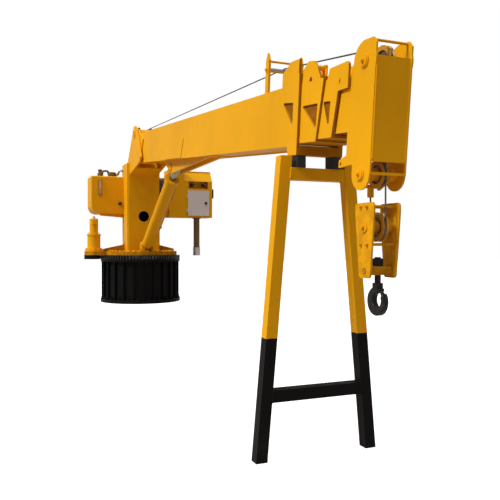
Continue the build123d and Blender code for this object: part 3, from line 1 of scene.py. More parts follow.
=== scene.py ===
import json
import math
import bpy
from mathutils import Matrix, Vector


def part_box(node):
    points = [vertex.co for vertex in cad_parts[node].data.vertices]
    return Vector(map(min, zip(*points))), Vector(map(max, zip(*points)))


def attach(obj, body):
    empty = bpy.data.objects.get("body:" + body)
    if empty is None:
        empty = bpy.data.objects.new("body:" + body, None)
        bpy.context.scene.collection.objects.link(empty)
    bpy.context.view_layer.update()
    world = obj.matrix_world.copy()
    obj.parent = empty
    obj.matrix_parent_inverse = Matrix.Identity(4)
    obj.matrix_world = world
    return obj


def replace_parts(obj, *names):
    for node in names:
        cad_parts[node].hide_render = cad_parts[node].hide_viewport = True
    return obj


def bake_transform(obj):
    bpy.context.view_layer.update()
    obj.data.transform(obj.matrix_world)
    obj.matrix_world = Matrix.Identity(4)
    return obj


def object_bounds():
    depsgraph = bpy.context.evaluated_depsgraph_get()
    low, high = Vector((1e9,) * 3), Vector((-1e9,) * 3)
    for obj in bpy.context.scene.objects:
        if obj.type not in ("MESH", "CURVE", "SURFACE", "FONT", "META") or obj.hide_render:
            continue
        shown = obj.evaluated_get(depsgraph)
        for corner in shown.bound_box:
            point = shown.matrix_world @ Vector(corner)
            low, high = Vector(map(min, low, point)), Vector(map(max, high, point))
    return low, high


bl_info = {
    "name": "Deck Crane Dresser",
    "version": (1, 0, 0),
    "blender": (4, 5, 0),
    "location": "View3D > Sidebar > Deck Crane",
    "description": "Finishes, hoist rope, fasteners, welds, pipework and stage of a telescopic deck crane",
    "category": "Object",
}

import bpy
import numpy as np
from bpy.props import FloatProperty, FloatVectorProperty, IntProperty, PointerProperty
from mathutils import Vector

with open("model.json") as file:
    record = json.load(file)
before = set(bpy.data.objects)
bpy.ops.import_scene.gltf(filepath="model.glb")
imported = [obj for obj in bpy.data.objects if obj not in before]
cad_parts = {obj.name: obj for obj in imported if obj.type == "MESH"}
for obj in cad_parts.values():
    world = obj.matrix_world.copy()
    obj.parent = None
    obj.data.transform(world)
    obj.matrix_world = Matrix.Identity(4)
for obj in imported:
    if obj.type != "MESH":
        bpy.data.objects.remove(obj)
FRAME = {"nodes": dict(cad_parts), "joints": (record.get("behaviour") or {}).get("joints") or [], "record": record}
CAD_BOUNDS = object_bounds()
NODES = FRAME["nodes"]
JOINTS = {joint["name"]: joint for joint in FRAME["joints"]}
FORWARD, ACROSS, UP = np.eye(3)


def pin_of(joint):
    """Where a joint's pin stands at rest."""
    return np.array(JOINTS[joint]["pos_m"], float)


def box_of(node):
    """Lowest and highest corner of a CAD node as arrays."""
    low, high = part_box(node)
    return np.array(low), np.array(high)


def ends_of(node):
    """Both ends of a node across the crane: how far from the middle, and the outward axis."""
    low, high = box_of(node)
    return (low[1], -ACROSS), (high[1], ACROSS)


def measured(origin, along):
    """A function that gives the point at x along a line, z square to it and y across it from an origin, for numbers
    or arrays, and the direction square to the line."""
    square = np.array((-along[2], 0.0, along[0]))

    def point(x, z, y=0.0):
        x, z, y = np.broadcast_arrays(x, z, y)
        return origin + x[..., None] * along + z[..., None] * square + y[..., None] * ACROSS

    return point, square


HINGE = pin_of("luff")
BOOM_ALONG = np.array(JOINTS["telescope"]["axis"], float)
LUFF_FOOT = pin_of("luff_barrel_tilt")
LUFF_REACH = pin_of("luff_rod_tilt") - LUFF_FOOT
LUFF_ALONG = LUFF_REACH / np.linalg.norm(LUFF_REACH)
on_boom, BOOM_UP = measured(HINGE, BOOM_ALONG)
on_luff, LUFF_UP = measured(LUFF_FOOT, LUFF_ALONG)


def boom_xz(point):
    """A point's distance along the boom and its height square to the boom, from the boom hinge."""
    return float((point - HINGE) @ BOOM_ALONG), float((point - HINGE) @ BOOM_UP)


def metres(name, description, default):
    """Property of one length in metres."""
    return FloatProperty(name=name, description=description, unit="LENGTH", default=default)


def measures(name, description, default):
    """Property of three lengths in metres."""
    return FloatVectorProperty(name=name, description=description, subtype="XYZ", unit="LENGTH", default=default)


def whole(name, description, default):
    """Property of a whole number."""
    return IntProperty(name=name, description=description, default=default)


def tint(name, description, default):
    """Property of a colour."""
    return FloatVectorProperty(name=name, description=description, subtype="COLOR", default=default)


def degrees(name, description, default):
    """Property of an angle, given in degrees."""
    return FloatProperty(name=name, description=description, subtype="ANGLE", default=math.radians(default))


class FinishColours(bpy.types.PropertyGroup):
    """Colours of the crane's finishes."""

    yellow: tint("Crane yellow", "Top coat of the steelwork", (0.86, 0.405, 0.006))
    black: tint("Deck black", "Satin coat of pedestal and rest", (0.0072, 0.0071, 0.007))
    panel: tint("Panel grey", "Coat of the cabinet door", (0.72, 0.66, 0.61))
    machine: tint("Machine grey", "Coat of valve block", (0.085, 0.085, 0.078))
    pipe: tint("Pipe brown", "Coat of pipes and tank fittings", (0.17, 0.095, 0.014))
    # Besides real grease, this brown is the painted shade on the boom's pocket floors, mouths and undersides, and
    # on the deck and crosshead.
    grease: tint("Grease", "Old grease on boom, deck and hook block", (0.2, 0.055, 0.006))
    # Near-black painted shade for the hollow inside of the tower.
    primer: tint("Primer", "Inside of the tower", (0.006, 0.005, 0.005))
    paint_line: metres("Paint line", "Height where the rest turns from yellow to black", 0.267)
    oil_level: metres("Oil level", "Height of the oil in the gauge", 1.86)


class RopeSizes(bpy.types.PropertyGroup):
    """Sizes of the hoist rope."""

    diameter: metres("Diameter", "Across the rope", 0.012)
    lay: metres("Lay", "Length of one strand's turn", 0.084)
    strands: whole("Strands", "Strands round the core", 6)
    step: metres("Step", "Spacing of the rope's rings", 0.005)
    wind_radius: metres("Winding radius", "Rope centre on the drum", 0.0864)
    wind_pitch: metres("Winding pitch", "Spacing of turns", 0.0128)
    wind_turns: whole("Turns", "Turns on the drum", 6)
    roller_gap: metres("Roller gap", "Between guide roller and rope", 0.0004)
    top_radius: metres("Top sheave", "Rope centre on it", 0.095)
    low_radius: metres("Low sheave", "Rope centre on it", 0.08)
    block_radius: metres("Block sheave", "Rope centre on it", 0.084)
    lap: degrees("Lap", "Half the rope's arc on the low sheave at rest", 4.0)
    dead_top: metres("Dead end", "Height of the dead fall's upper end", 1.26)
    fall_top: metres("Falls", "Height under which the falls lengthen", 1.25)


class FastenerSizes(bpy.types.PropertyGroup):
    """Sizes of the crane's bolts, ribs and welds."""

    stud: metres("Foot stud", "Nut across flats", 0.036)
    ring: metres("Ring bolt", "Head across flats", 0.03)
    frame: metres("Frame bolt", "Head across flats", 0.024)
    small: metres("Small bolt", "Head across flats", 0.017)
    studs: whole("Foot studs", "Studs round the foot, with a rib between each two", 24)
    stud_circle: metres("Stud circle", "Radius of the studs' circle", 0.628)
    ring_bolts: whole("Ring bolts", "Places round the deck", 40)
    ring_circle: metres("Ring circle", "Radius of the ring bolts' circle", 0.53)
    lug_gap: degrees("Lug gap", "Left free each side of the luffing lugs", 5.73)
    bead: metres("Weld bead", "Bead radius", 0.006)
    shell: metres("Pedestal shell", "Its radius", 0.6)
    ribs_out: metres("Pedestal ribs", "Past the shell", 0.036)
    ribs_thick: metres("Rib plate", "Its thickness", 0.014)
    foot_top: metres("Foot flange", "Its top", 0.05)
    crown_under: metres("Crown flange", "Its underside", 0.663)
    tower_corner: metres("Tower corner", "Its radius", 0.03)
    ear: metres("Tower ear", "Its thickness", 0.03)
    seam_end: metres("Seam end", "Left free at the ears' ends", 0.01)
    rib: metres("Deck rib", "Its height at the tower", 0.115)
    rib_half: metres("Deck rib half", "Half its thickness", 0.01)
    rib_end: metres("Deck rib end", "From the middle", 0.56)
    boom_height: metres("Boom height", "Of the base section", 0.457)
    boom_tail: metres("Boom tail", "Start of its seams from the hinge", 0.25)
    boom_front: metres("Boom front", "End of its seams behind the collar", 0.05)
    web_in: metres("Web", "Inner face from the middle", 0.165)
    flange_inset: metres("Flange inset", "Below the webs' edge", 0.015)
    head_seam: metres("Head seam", "From the middle", 0.122)
    head_face: metres("Head face", "From the hinge", 6.585)
    head_crown: metres("Head crown", "Top of the face", 0.042)
    head_foot: metres("Head foot", "Seams' end above the low axle", 0.09)
    leg_corner: metres("Leg corner", "Radius of its seams' corners", 0.004)
    leg_inner: metres("Leg", "Inner face at the top", 0.2198)
    leg_lean: FloatProperty(name="Leg lean", description="Outward run per metre of drop", default=0.0882)


class PipeSizes(bpy.types.PropertyGroup):
    """Sizes of the hydraulic pipes and of the tank's fittings."""

    line: metres("Barrel line", "Pipe radius", 0.011)
    line_out: metres("Barrel line side", "Its middle past the barrel", 0.0176)
    line_bend: metres("Barrel bend", "Radius of the line's bends", 0.04)
    barrel: metres("Barrel", "Radius of the luffing barrel", 0.085)
    port: measures("Barrel port", "Length, width and height", (0.07, 0.06, 0.03))
    port_out: metres("Barrel port side", "Its middle past the barrel", 0.006)
    port_start: metres("Foot port", "From the foot pin", 0.2)
    gland_back: metres("Gland", "Last port back from the head pin", 0.33)
    clamp: measures("Pipe clamp", "Length, width and height", (0.03, 0.05, 0.034))
    clamps: whole("Clamps", "Clamps between the ports", 3)
    return_line: metres("Return line", "Pipe radius", 0.017)
    bend: metres("Tank bend", "Radius of the tank pipes' bends", 0.045)
    filter_head: metres("Filter head", "Its radius", 0.066)
    head_port: metres("Filter port", "Above the tank", 0.045)
    entry: measures("Wall entry", "In from tower's back, tank's end, above the port", (0.08, 0.06, 0.06))
    filler: measures("Filler", "From the tank's back, its end and its top", (0.325, 0.16, 0.064))
    breather: measures("Breather", "From filter, from the tank's middle, above the tank", (-0.06, 0.03, 0.11))
    breather_neck: metres("Breather neck", "Between its legs", 0.1)
    gauge: measures("Gauge glass", "Length, width and thickness", (0.226, 0.042, 0.004))
    gauge_out: metres("Gauge front", "Glass's middle before the fittings' face", 0.0015)
    gauge_in: metres("Gauge side", "Middle from the fittings' edge", 0.027)
    gauge_up: metres("Gauge middle", "Above the fittings' foot", 0.125)
    gauge_bolt: metres("Gauge bolts", "From the gauge's middle", 0.117)
    plug_in: metres("Plug side", "From the tank's end", 0.06)
    plug_up: metres("Plug height", "Above the tank's foot", 0.17)
    plug: metres("Plug", "Across flats", 0.05)
    motor_port: metres("Motor port", "Across flats, and from the motor's middle", 0.034)
    coupling: metres("Coupling", "Outer radius", 0.061)


class TrimSizes(bpy.types.PropertyGroup):
    """Sizes of hatch, cabinet trim, hook block trim and rope saddle."""

    hatch: measures("Hatch", "Length, width and thickness", (0.6, 0.36, 0.012))
    hatch_out: metres("Hatch face", "Its middle behind the tower's back", 0.003)
    hatch_up: metres("Hatch middle", "Above the deck", 0.62)
    hatch_edge: metres("Hatch bolts", "From the hatch's edge", 0.025)
    hatch_inner: metres("Hatch inner bolts", "From the hatch's middle", 0.09)
    grip: metres("Grip", "Radius between its ridges", 0.0142)
    grip_long: metres("Grip length", "Along the handle", 0.14)
    handle: measures("Handle", "Behind the door, from the cabinet's side, height", (0.0923, 0.009, 1.82))
    hinge_strip: metres("Hinge strip", "Width of the door's hinges", 0.021)
    seal: measures("Seal", "In from the door's edge, behind the door's back, radius", (0.008, 0.0016, 0.0013))
    seal_corner: metres("Seal corner", "Its radius", 0.012)
    bay: measures("Lever bay", "Behind the door's back, then screws from the bay's middle", (0.003, 0.21, 0.045))
    boot: measures("Boot", "Start from the lever's pin, radius there, radius at the end", (0.018, 0.03, 0.01))
    boot_long: metres("Boot length", "Its length", 0.045)
    cheek_side: metres("Cheek bolts", "From the block's middle", 0.035)
    cheek_top: metres("Upper cheek bolts", "Above the sheave's pin", 0.128)
    cheek_foot: metres("Lower cheek bolts", "Under the sheave's pin", 0.11)
    saddle: measures("Saddle plate", "Length, height and thickness", (0.085, 0.1, 0.012))
    saddle_half: metres("Saddle", "Plates from the middle", 0.05)
    saddle_back: metres("Saddle place", "Behind the collar's mouth", 0.065)
    saddle_up: metres("Saddle height", "Plates' middle over the boom's hinge line", 0.106)
    bar_up: metres("Saddle bar height", "Bar's middle over the boom's hinge line", 0.13)
    saddle_bar: metres("Saddle bar", "Its radius", 0.02)


class StageSettings(bpy.types.PropertyGroup):
    """Camera and light."""

    eye: measures("Camera place", "Where the camera stands", (10.334, -2.235, 0.961))
    turn: degrees("Camera turn", "Left turn from +Y", 67.79)
    nod: degrees("Camera nod", "Tilt above level", -0.63)
    lens: FloatProperty(name="Lens", description="Focal length in mm on a 36 mm frame", default=44.64)
    key: FloatProperty(name="Key light", description="Strength of the high side light", default=2.6)
    top: FloatProperty(name="Top light", description="Strength of the light from overhead", default=1.7)
    fill: FloatProperty(name="Fill light", description="Strength of the light from all round", default=0.22)
    mirror: FloatProperty(name="Mirror", description="Backdrop's share in mirror images", default=0.3)
    bounce: tint("Bounce", "Tone of the floor's bounced light", (0.37, 0.31, 0.29))
    floor_half: metres("Floor", "Half its side", 40.0)


class Wire:
    """A shader value; an expression on wires adds its Math nodes."""

    def __init__(self, finish, socket):
        self.finish = finish
        self.socket = socket

    def math(self, operation, first, second):
        return self.finish.node("Math", {"operation": operation}, {0: first, 1: second})

    def __add__(self, other):
        return self.math("ADD", self, other)

    def __sub__(self, other):
        return self.math("SUBTRACT", self, other)

    def __rsub__(self, other):
        return self.math("SUBTRACT", other, self)

    def __mul__(self, other):
        return self.math("MULTIPLY", self, other)

    __radd__ = __add__
    __rmul__ = __mul__

    def step(self, low, high):
        """0 under low and 1 over high, smooth between."""
        return self.finish.node(
            "MapRange", {"interpolation_type": "SMOOTHSTEP"}, {"Value": self, "From Min": low, "From Max": high}
        )


class Finish:
    """A node tree in the making, of a new material or of a new world."""

    def __init__(self, name, blocks=bpy.data.materials):
        self.block = blocks.new(name)
        self.block.use_nodes = True
        self.tree = self.block.node_tree
        self.tree.nodes.clear()

    @property
    def place(self):
        """The object's own coordinates."""
        return self.node("TexCoord", out="Object")

    def node(self, kind, settings=None, sockets=None, out=0):
        """One node of a type, with its settings first and then the values or links of its sockets."""
        made = self.tree.nodes.new("ShaderNode" + kind)
        for key, value in (settings or {}).items():
            setattr(made, key, value)
        for key, value in (sockets or {}).items():
            self.put(made.inputs[key], value)
        return Wire(self, made.outputs[out]) if made.outputs else None

    def put(self, socket, value):
        """Links a wire or sets a value on a socket."""
        if isinstance(value, Wire):
            self.tree.links.new(value.socket, socket)
        elif socket.type == "RGBA" and len(value) == 3:
            socket.default_value = (*value, 1.0)
        else:
            socket.default_value = value

    def noise(self, scale, detail=2.0, rough=0.5, stretch=None):
        """Fractal noise on the object's own coordinates, drawn out along an axis where stretch is given."""
        place = self.place
        if stretch:
            place = self.node("VectorMath", {"operation": "MULTIPLY"}, {0: place, 1: stretch})
        sockets = {"Vector": place, "Scale": scale, "Detail": detail, "Roughness": rough}
        return self.node("TexNoise", {}, sockets, "Fac")

    def axis(self, name):
        """One of the object's own coordinates."""
        return self.node("SeparateXYZ", {}, {0: self.place}, name)

    def facing(self, name):
        """How far a face looks along one of the object's own axes."""
        return self.node("SeparateXYZ", {}, {0: self.node("TexCoord", out="Normal")}, name)

    def mix(self, share, first, second):
        """Colour between first and second."""
        return self.node("Mix", {"data_type": "RGBA"}, {"Factor": share, 6: first, 7: second}, 2)

    def bump(self, height, depth, strength=1.0):
        """Surface normal from a height."""
        return self.node("Bump", {}, {"Height": height, "Distance": depth, "Strength": strength})

    def shader(self, **sockets):
        """Principled shader on the output; underscores in names stand for spaces."""
        named = {key.replace("_", " "): value for key, value in sockets.items()}
        self.node("OutputMaterial", {}, {"Surface": self.node("BsdfPrincipled", {}, named)})
        return self.block


def shade(colour, factor):
    """A colour made darker or lighter."""
    return tuple(min(1.0, channel * factor) for channel in colour)


def painted(finish, colour, gloss=0.36, peel=0.0006, dust=(0.34, 0.27, 0.18), soil=0.35):
    """Sprayed paint: broad tone drift, orange peel, fine runs, dust on upward faces and thin scuffs. Gives tone,
    roughness and normal."""
    drift = finish.noise(0.9, 3.0)
    cloud = finish.noise(6.0, 4.0, 0.6)
    run = finish.noise(5.0, 3.0, 0.6, (3.0, 3.0, 0.25))
    scuff = finish.noise(38.0, 5.0, 0.7).step(0.68, 0.74) * finish.noise(2.3, 2.0).step(0.5, 0.66)
    settled = finish.facing("Z").step(0.35, 0.95) * finish.noise(9.0, 4.0, 0.65).step(0.3, 0.75)
    tone = finish.mix(drift.step(0.3, 0.7), shade(colour, 0.93), shade(colour, 1.05))
    tone = finish.mix(cloud.step(0.45, 0.8) * 0.25, tone, shade(colour, 0.86))
    tone = finish.mix(run.step(0.56, 0.78) * soil * 0.5, tone, shade(colour, 0.66))
    tone = finish.mix(settled * soil * 0.6, tone, dust)
    tone = finish.mix(scuff * soil, tone, shade(colour, 0.55))
    rough = gloss + cloud * 0.12 + settled * 0.22 + scuff * 0.2
    texture = finish.noise(260.0, 2.0) + cloud * 1.5
    return tone, rough, finish.bump(texture, peel, 0.5)


def coat(finish, tone, rough, normal):
    """Paint with a faint shine."""
    return finish.shader(Base_Color=tone, Roughness=rough, Normal=normal, Specular_IOR_Level=0.05)


def within(offset, reach):
    """1 where an offset is smaller than a reach by 8 mm or more, 0 from 4 mm on."""
    return 1.0 - (offset * offset).step((reach - 0.008) ** 2, (reach - 0.004) ** 2)


def filmed(finish, colours, gloss, soil, scale, start, thin, patch):
    """Yellow under a brown film of rope grease: a thin share all over, and more in patches where the noise passes a
    start. On the greasy shaded finish, the film is also painted shade."""
    tone, rough, normal = painted(finish, colours.yellow, gloss, soil=soil)
    film = thin + patch * finish.noise(scale, 4.0, 0.6).step(start, 0.7)
    return coat(finish, finish.mix(film, tone, colours.grease), rough + film * 0.2, normal)


def crane_yellow(finish, colours):
    """Gloss yellow over primed steel."""
    return coat(finish, *painted(finish, colours.yellow))


def block_yellow(finish, colours):
    """Yellow of the hook block with a thin film of grease."""
    return filmed(finish, colours, 0.38, 0.7, 11.0, 0.35, 0.08, 0.3)


def greasy_yellow(finish, colours):
    """Yellow that is brown with grease nearly all over; on the deck and the crosshead, the brown is also painted
    shade.
    """
    return filmed(finish, colours, 0.4, 0.8, 16.0, 0.3, 0.35, 0.4)


def section_yellow(finish, colours, node, below):
    """Gloss yellow with painted shade in the grease brown on the floors of a section's side pockets (faces that
    look away from the boom's middle but lie deeper than its outer sides) and on its mouth (faces that look
    forward). By the share below, the brown is also on its underside, where it is painted shade and old grease
    together."""
    tone, rough, normal = painted(finish, colours.yellow)
    across, outer = finish.axis("Y"), float(box_of(node)[1][1])
    # Pocket floors and forward-looking mouth faces are painted darker in the grease brown: painted shade.
    pocket = (across * finish.facing("Y")).step(0.5 * outer, 0.9 * outer) * within(across, outer)
    mouth, under = finish.facing("X").step(0.6, 0.9), (0.0 - finish.facing("Z")).step(0.6, 0.9)
    painted_shade_mask = pocket + mouth * 0.8 + under * below
    painted_shade_amount = painted_shade_mask * (0.72 + 0.28 * finish.noise(18.0, 4.0, 0.6))
    return coat(finish, finish.mix(painted_shade_amount, tone, colours.grease), rough + painted_shade_amount * 0.2, normal)


def tower_yellow(finish, colours):
    """Gloss yellow outside, and near-black painted shade inside, on all points that lie deeper than the skin of the
    column's box."""
    tone, rough, normal = painted(finish, colours.yellow)
    low, high = (corner.tolist() for corner in box_of("tower"))
    along = finish.axis("X") - (low[0] + high[0]) / 2
    # Points inside the column's skin get the near-black painted shade.
    inside = within(along, (high[0] - low[0]) / 2) * within(finish.axis("Y"), high[1])
    inside = inside * (1.0 - finish.axis("Z").step(high[2] - 0.008, high[2] - 0.004))
    return coat(finish, finish.mix(inside, tone, colours.primer), rough, normal)


def rest_two_tone(finish, colours):
    """Yellow legs whose lower part is black, with a masked edge that wavers by a few millimetres."""
    tone, rough, normal = painted(finish, colours.yellow)
    height, edge = finish.axis("Z"), colours.paint_line
    upper = (height + finish.noise(30.0) * 0.006).step(edge, edge + 0.004)
    dirt = finish.noise(7.0, 4.0, 0.6).step(0.5, 0.8) * (1.0 - height.step(-0.64, -0.2))
    lower = finish.mix(dirt * 0.5, colours.black, (0.03, 0.026, 0.022))
    return coat(finish, finish.mix(upper, lower, tone), rough + 0.06, normal)


def satin_black(finish, colours):
    """Satin black deck paint, dusty on ledges, with faint vertical runs."""
    return coat(finish, *painted(finish, colours.black, 0.36, 0.0008, (0.04, 0.036, 0.032), 0.5))


def panel_grey(finish, colours):
    """Grey sheet with a fine vertical brush and finger marks."""
    tone, rough, normal = painted(finish, colours.panel, 0.38, 0.0003, (0.3, 0.27, 0.23), 0.4)
    brush = finish.noise(60.0, 3.0, 0.6, (1.0, 1.0, 0.04))
    tone = finish.mix(brush.step(0.35, 0.7) * 0.3, tone, shade(colours.panel, 1.18))
    return finish.shader(Base_Color=tone, Roughness=rough, Normal=normal, Metallic=0.1)


def machine_grey(finish, colours):
    """Dark grey casting paint with a coarse skin."""
    tone, rough, normal = painted(finish, colours.machine, 0.42, 0.0012, (0.12, 0.11, 0.1), 0.6)
    return finish.shader(Base_Color=tone, Roughness=rough, Normal=normal)


def greased_ring(finish, colours):
    """Machined ring steel under a film of dark grease that gathers in patches."""
    grease = finish.noise(14.0, 4.0, 0.6).step(0.38, 0.62)
    turned = finish.noise(24.0, 2.0, 0.5, (1.0, 1.0, 26.0))
    tone = finish.mix(grease, (0.1, 0.094, 0.088), (0.014, 0.012, 0.009))
    rough = 0.28 + turned * 0.14 - grease * 0.1
    normal = finish.bump(turned + grease, 0.0006)
    return finish.shader(Base_Color=tone, Roughness=rough, Metallic=1.0 - grease * 0.75, Normal=normal)


def turned_steel(finish, colours):
    """Bright pin steel with turning marks and light rust bloom."""
    lines = finish.noise(40.0, 2.0, 0.5, (1.0, 12.0, 1.0))
    bloom = finish.noise(18.0, 5.0, 0.65).step(0.62, 0.8)
    tone = finish.mix(bloom * 0.6, (0.36, 0.35, 0.34), (0.16, 0.075, 0.03))
    rough, normal = 0.24 + lines * 0.16 + bloom * 0.3, finish.bump(lines, 0.0003, 0.6)
    return finish.shader(Base_Color=tone, Roughness=rough, Metallic=1.0 - bloom * 0.6, Normal=normal)


def zinc_plate(finish, colours):
    """Zinc plated fasteners, slightly cloudy."""
    cloud = finish.noise(45.0, 4.0, 0.6)
    tone = finish.mix(cloud, (0.42, 0.41, 0.38), (0.6, 0.59, 0.56))
    return finish.shader(Base_Color=tone, Roughness=0.3 + cloud * 0.22, Metallic=0.9)


def hard_chrome(finish, colours):
    """Chromed cylinder rod with a thin wiped oil film."""
    film = finish.noise(5.0, 4.0, 0.6)
    tone = finish.mix(film.step(0.55, 0.75) * 0.4, (0.3, 0.29, 0.28), (0.2, 0.16, 0.11))
    return finish.shader(Base_Color=tone, Roughness=0.1 + film * 0.14, Metallic=1.0)


def wire_rope(finish, colours):
    """Greased steel wire: bright crowns on the wires and dark grease between them."""
    wires = finish.noise(700.0, 1.0)
    grease = finish.noise(25.0, 4.0, 0.6)
    tone = finish.mix(grease.step(0.4, 0.7), (0.16, 0.155, 0.15), (0.05, 0.045, 0.04))
    normal = finish.bump(wires, 0.0006, 0.7)
    return finish.shader(Base_Color=tone, Roughness=0.35 + wires * 0.2, Metallic=0.85, Normal=normal)


def cast_sheave(finish, colours):
    """Painted casting whose groove, within a rope's width of its middle, is worn to greasy steel."""
    # The yellow darkened to 0.72 is painted shade for sheaves that sit deep in the head and the block.
    tone, rough, normal = painted(finish, shade(colours.yellow, 0.72), 0.42, 0.0012, soil=0.8)
    across = finish.axis("Y")
    groove = 1.0 - (across * across).step(0.00004, 0.00012)
    tone = finish.mix(groove * 0.9, tone, (0.13, 0.12, 0.11))
    return finish.shader(Base_Color=tone, Roughness=rough - groove * 0.1, Metallic=groove * 0.8, Normal=normal)


def nylon_pad(finish, colours):
    """Cast nylon of the wear pads, milky with grey rub marks."""
    rub = finish.noise(12.0, 3.0, 0.6, (0.2, 3.0, 3.0))
    tone = finish.mix(rub.step(0.5, 0.75), (0.55, 0.53, 0.46), (0.24, 0.23, 0.21))
    return finish.shader(Base_Color=tone, Roughness=0.45 + rub * 0.2, Subsurface_Weight=0.05)


def black_rubber(finish, colours):
    """Matt rubber with chalky bloom."""
    bloom = finish.noise(22.0, 5.0, 0.65)
    tone = finish.mix(bloom.step(0.5, 0.8) * 0.5, (0.014, 0.014, 0.014), (0.06, 0.058, 0.055))
    return finish.shader(Base_Color=tone, Roughness=0.72 + bloom * 0.15, Normal=finish.bump(bloom, 0.001, 0.5))


def moulded_black(finish, colours):
    """Moulded plastic of knobs and levers with a fine spark-eroded grain."""
    grain = finish.noise(900.0, 2.0)
    tone = finish.mix(finish.noise(14.0, 3.0), (0.011, 0.011, 0.012), (0.026, 0.025, 0.025))
    return finish.shader(Base_Color=tone, Roughness=0.38 + grain * 0.15, Normal=finish.bump(grain, 0.0003, 0.5))


def forged_black(finish, colours):
    """Hook forging with thin black paint worn to steel in patches."""
    scale = finish.noise(60.0, 5.0, 0.65)
    worn = finish.noise(16.0, 4.0, 0.6).step(0.6, 0.76)
    tone = finish.mix(worn * 0.6, (0.014, 0.013, 0.013), (0.12, 0.11, 0.1))
    return finish.shader(
        Base_Color=tone, Roughness=0.42 + scale * 0.16, Metallic=0.2 + worn * 0.5,
        Normal=finish.bump(scale, 0.0012, 0.6), Specular_IOR_Level=0.22,
    )


def oiled_pipe(finish, colours):
    """Brown pipe paint with dark drips of oil."""
    tone, rough, normal = painted(finish, colours.pipe, 0.34, 0.0005, (0.12, 0.1, 0.07), 0.6)
    drip = finish.noise(9.0, 4.0, 0.6, (3.0, 3.0, 0.2)).step(0.45, 0.7)
    tone = finish.mix(drip * 0.6, tone, (0.035, 0.024, 0.009))
    return finish.shader(Base_Color=tone, Roughness=rough - drip * 0.1, Normal=normal)


def sight_glass(finish, colours):
    """Oil level glass: thin amber oil to a wavering level and a pale strip above it."""
    level = colours.oil_level
    above = (finish.axis("Z") + finish.noise(20.0) * 0.004).step(level, level + 0.004)
    tone = finish.mix(above, (0.48, 0.29, 0.19), (0.56, 0.4, 0.31))
    return finish.shader(Base_Color=tone, Roughness=0.12, Coat_Weight=0.5)


FINISHES = {
    "yellow": crane_yellow,
    "block_yellow": block_yellow,
    "greasy_yellow": greasy_yellow,
    "tower_yellow": tower_yellow,
    "two_tone": rest_two_tone,
    "black_paint": satin_black,
    "grey_panel": panel_grey,
    "dark_grey": machine_grey,
    "ring_steel": greased_ring,
    "pin_steel": turned_steel,
    "zinc": zinc_plate,
    "chrome_rod": hard_chrome,
    "rope": wire_rope,
    "sheave": cast_sheave,
    "wear_pad": nylon_pad,
    "black_rubber": black_rubber,
    "black_plastic": moulded_black,
    "forged": forged_black,
    "oiled": oiled_pipe,
    "glass": sight_glass,
}
# Nodes whose finish differs from their material slot
NODE_FINISH = {
    "rest_legs": "two_tone",
    "rest_bars": "two_tone",
    "hook": "forged",
    "hook_latch": "forged",
    "tower": "tower_yellow",
    # Deck and crosshead take the greasy brown also as painted shade.
    "platform": "greasy_yellow",
    "block_frame": "block_yellow",
    "crosshead": "greasy_yellow",
    "head_axles": "yellow",
    "hinge_pin": "yellow",
    "luff_foot_pin": "yellow",
    "luff_head_pin": "yellow",
    "return_pipe": "oiled",
    "tank_fittings": "oiled",
}
# Share of brown on the underside of the boom's inner pieces: painted shade and old grease together
SHADE_AND_GREASE_UNDER = {
    "base_collar": 0.4, "nose_2": 0.4, "nose_3": 0.4, "section_2": 0.55, "section_3": 0.55, "section_4": 0.55
}
# Materials made so far
MADE = {}


def finish_of(name):
    """The material of a finish, made once."""
    if name not in MADE:
        make = FINISHES[name]
        MADE[name] = make(Finish(make.__name__), bpy.context.scene.crane_colours)
    return MADE[name]


# Crease angles in degrees: plates and bolts, forgings, and pieces that are smooth all over
PLATE, FORGED, SMOOTH = 32.0, 50.0, 60.0
# How deep a piece sits in the face that carries it
SUNK = 0.002
# Heights of bolt heads, and of the studs' ends past their nuts
STUD_HEAD, STUD_END = 0.024, 0.03
RING_HEAD, FRAME_HEAD, SMALL_HEAD = 0.019, 0.015, 0.011
# Other six-sided fittings: width across flats and height of the head
GAUGE_BOLT, BAY_SCREW = (0.011, 0.006), (0.012, 0.005)
PLUG_HEAD, PORT_HEAD, PORT_END = 0.026, 0.02, 0.016
# Turned profiles: radius and height
NIPPLE = ((0.008, 0.0), (0.008, 0.006), (0.004, 0.009), (0.0055, 0.014), (0.003, 0.018))
PIPE_NUT = ((0.024, 0.0), (0.028, 0.003), (0.028, 0.02), (0.02, 0.024))
FILLER_CAP = ((0.026, -0.002), (0.03, 0.004), (0.03, 0.03), (0.034, 0.034), (0.034, 0.05), (0.028, 0.058))
# Profile of the coupling: radius past its outer radius, and height
COUPLING = ((-0.006, 0.0), (0.0, 0.002), (0.0, 0.05), (-0.003, 0.054), (0.0, 0.058), (0.0, 0.138), (-0.006, 0.142))
# Bolt circles of the slew drive: height over the deck, radius, bolts, first angle
DRIVE_CIRCLES = ((0.035, 0.123, 10, 0.2), (0.29, 0.087, 8, 0.1))
# Bolt circles of the winch, on its drum bearing and on its motor: radius, bolts, first angle
WINCH_CIRCLES = ((0.036, 4, 0.4), (0.07, 8, 0.2))
# Bolts of the pins' end plates: radius as a share of the plate's height, bolts, first angle
PIN_CIRCLE, PIN_BOLTS, PIN_FIRST = 0.33, 4, 0.5
# Pins with bolted end plates: joint and body
PINS = {
    "hinge_pin": ("luff", "column"),
    "luff_foot_pin": ("luff_barrel_tilt", "column"),
    "luff_head_pin": ("luff_rod_tilt", "boom"),
}
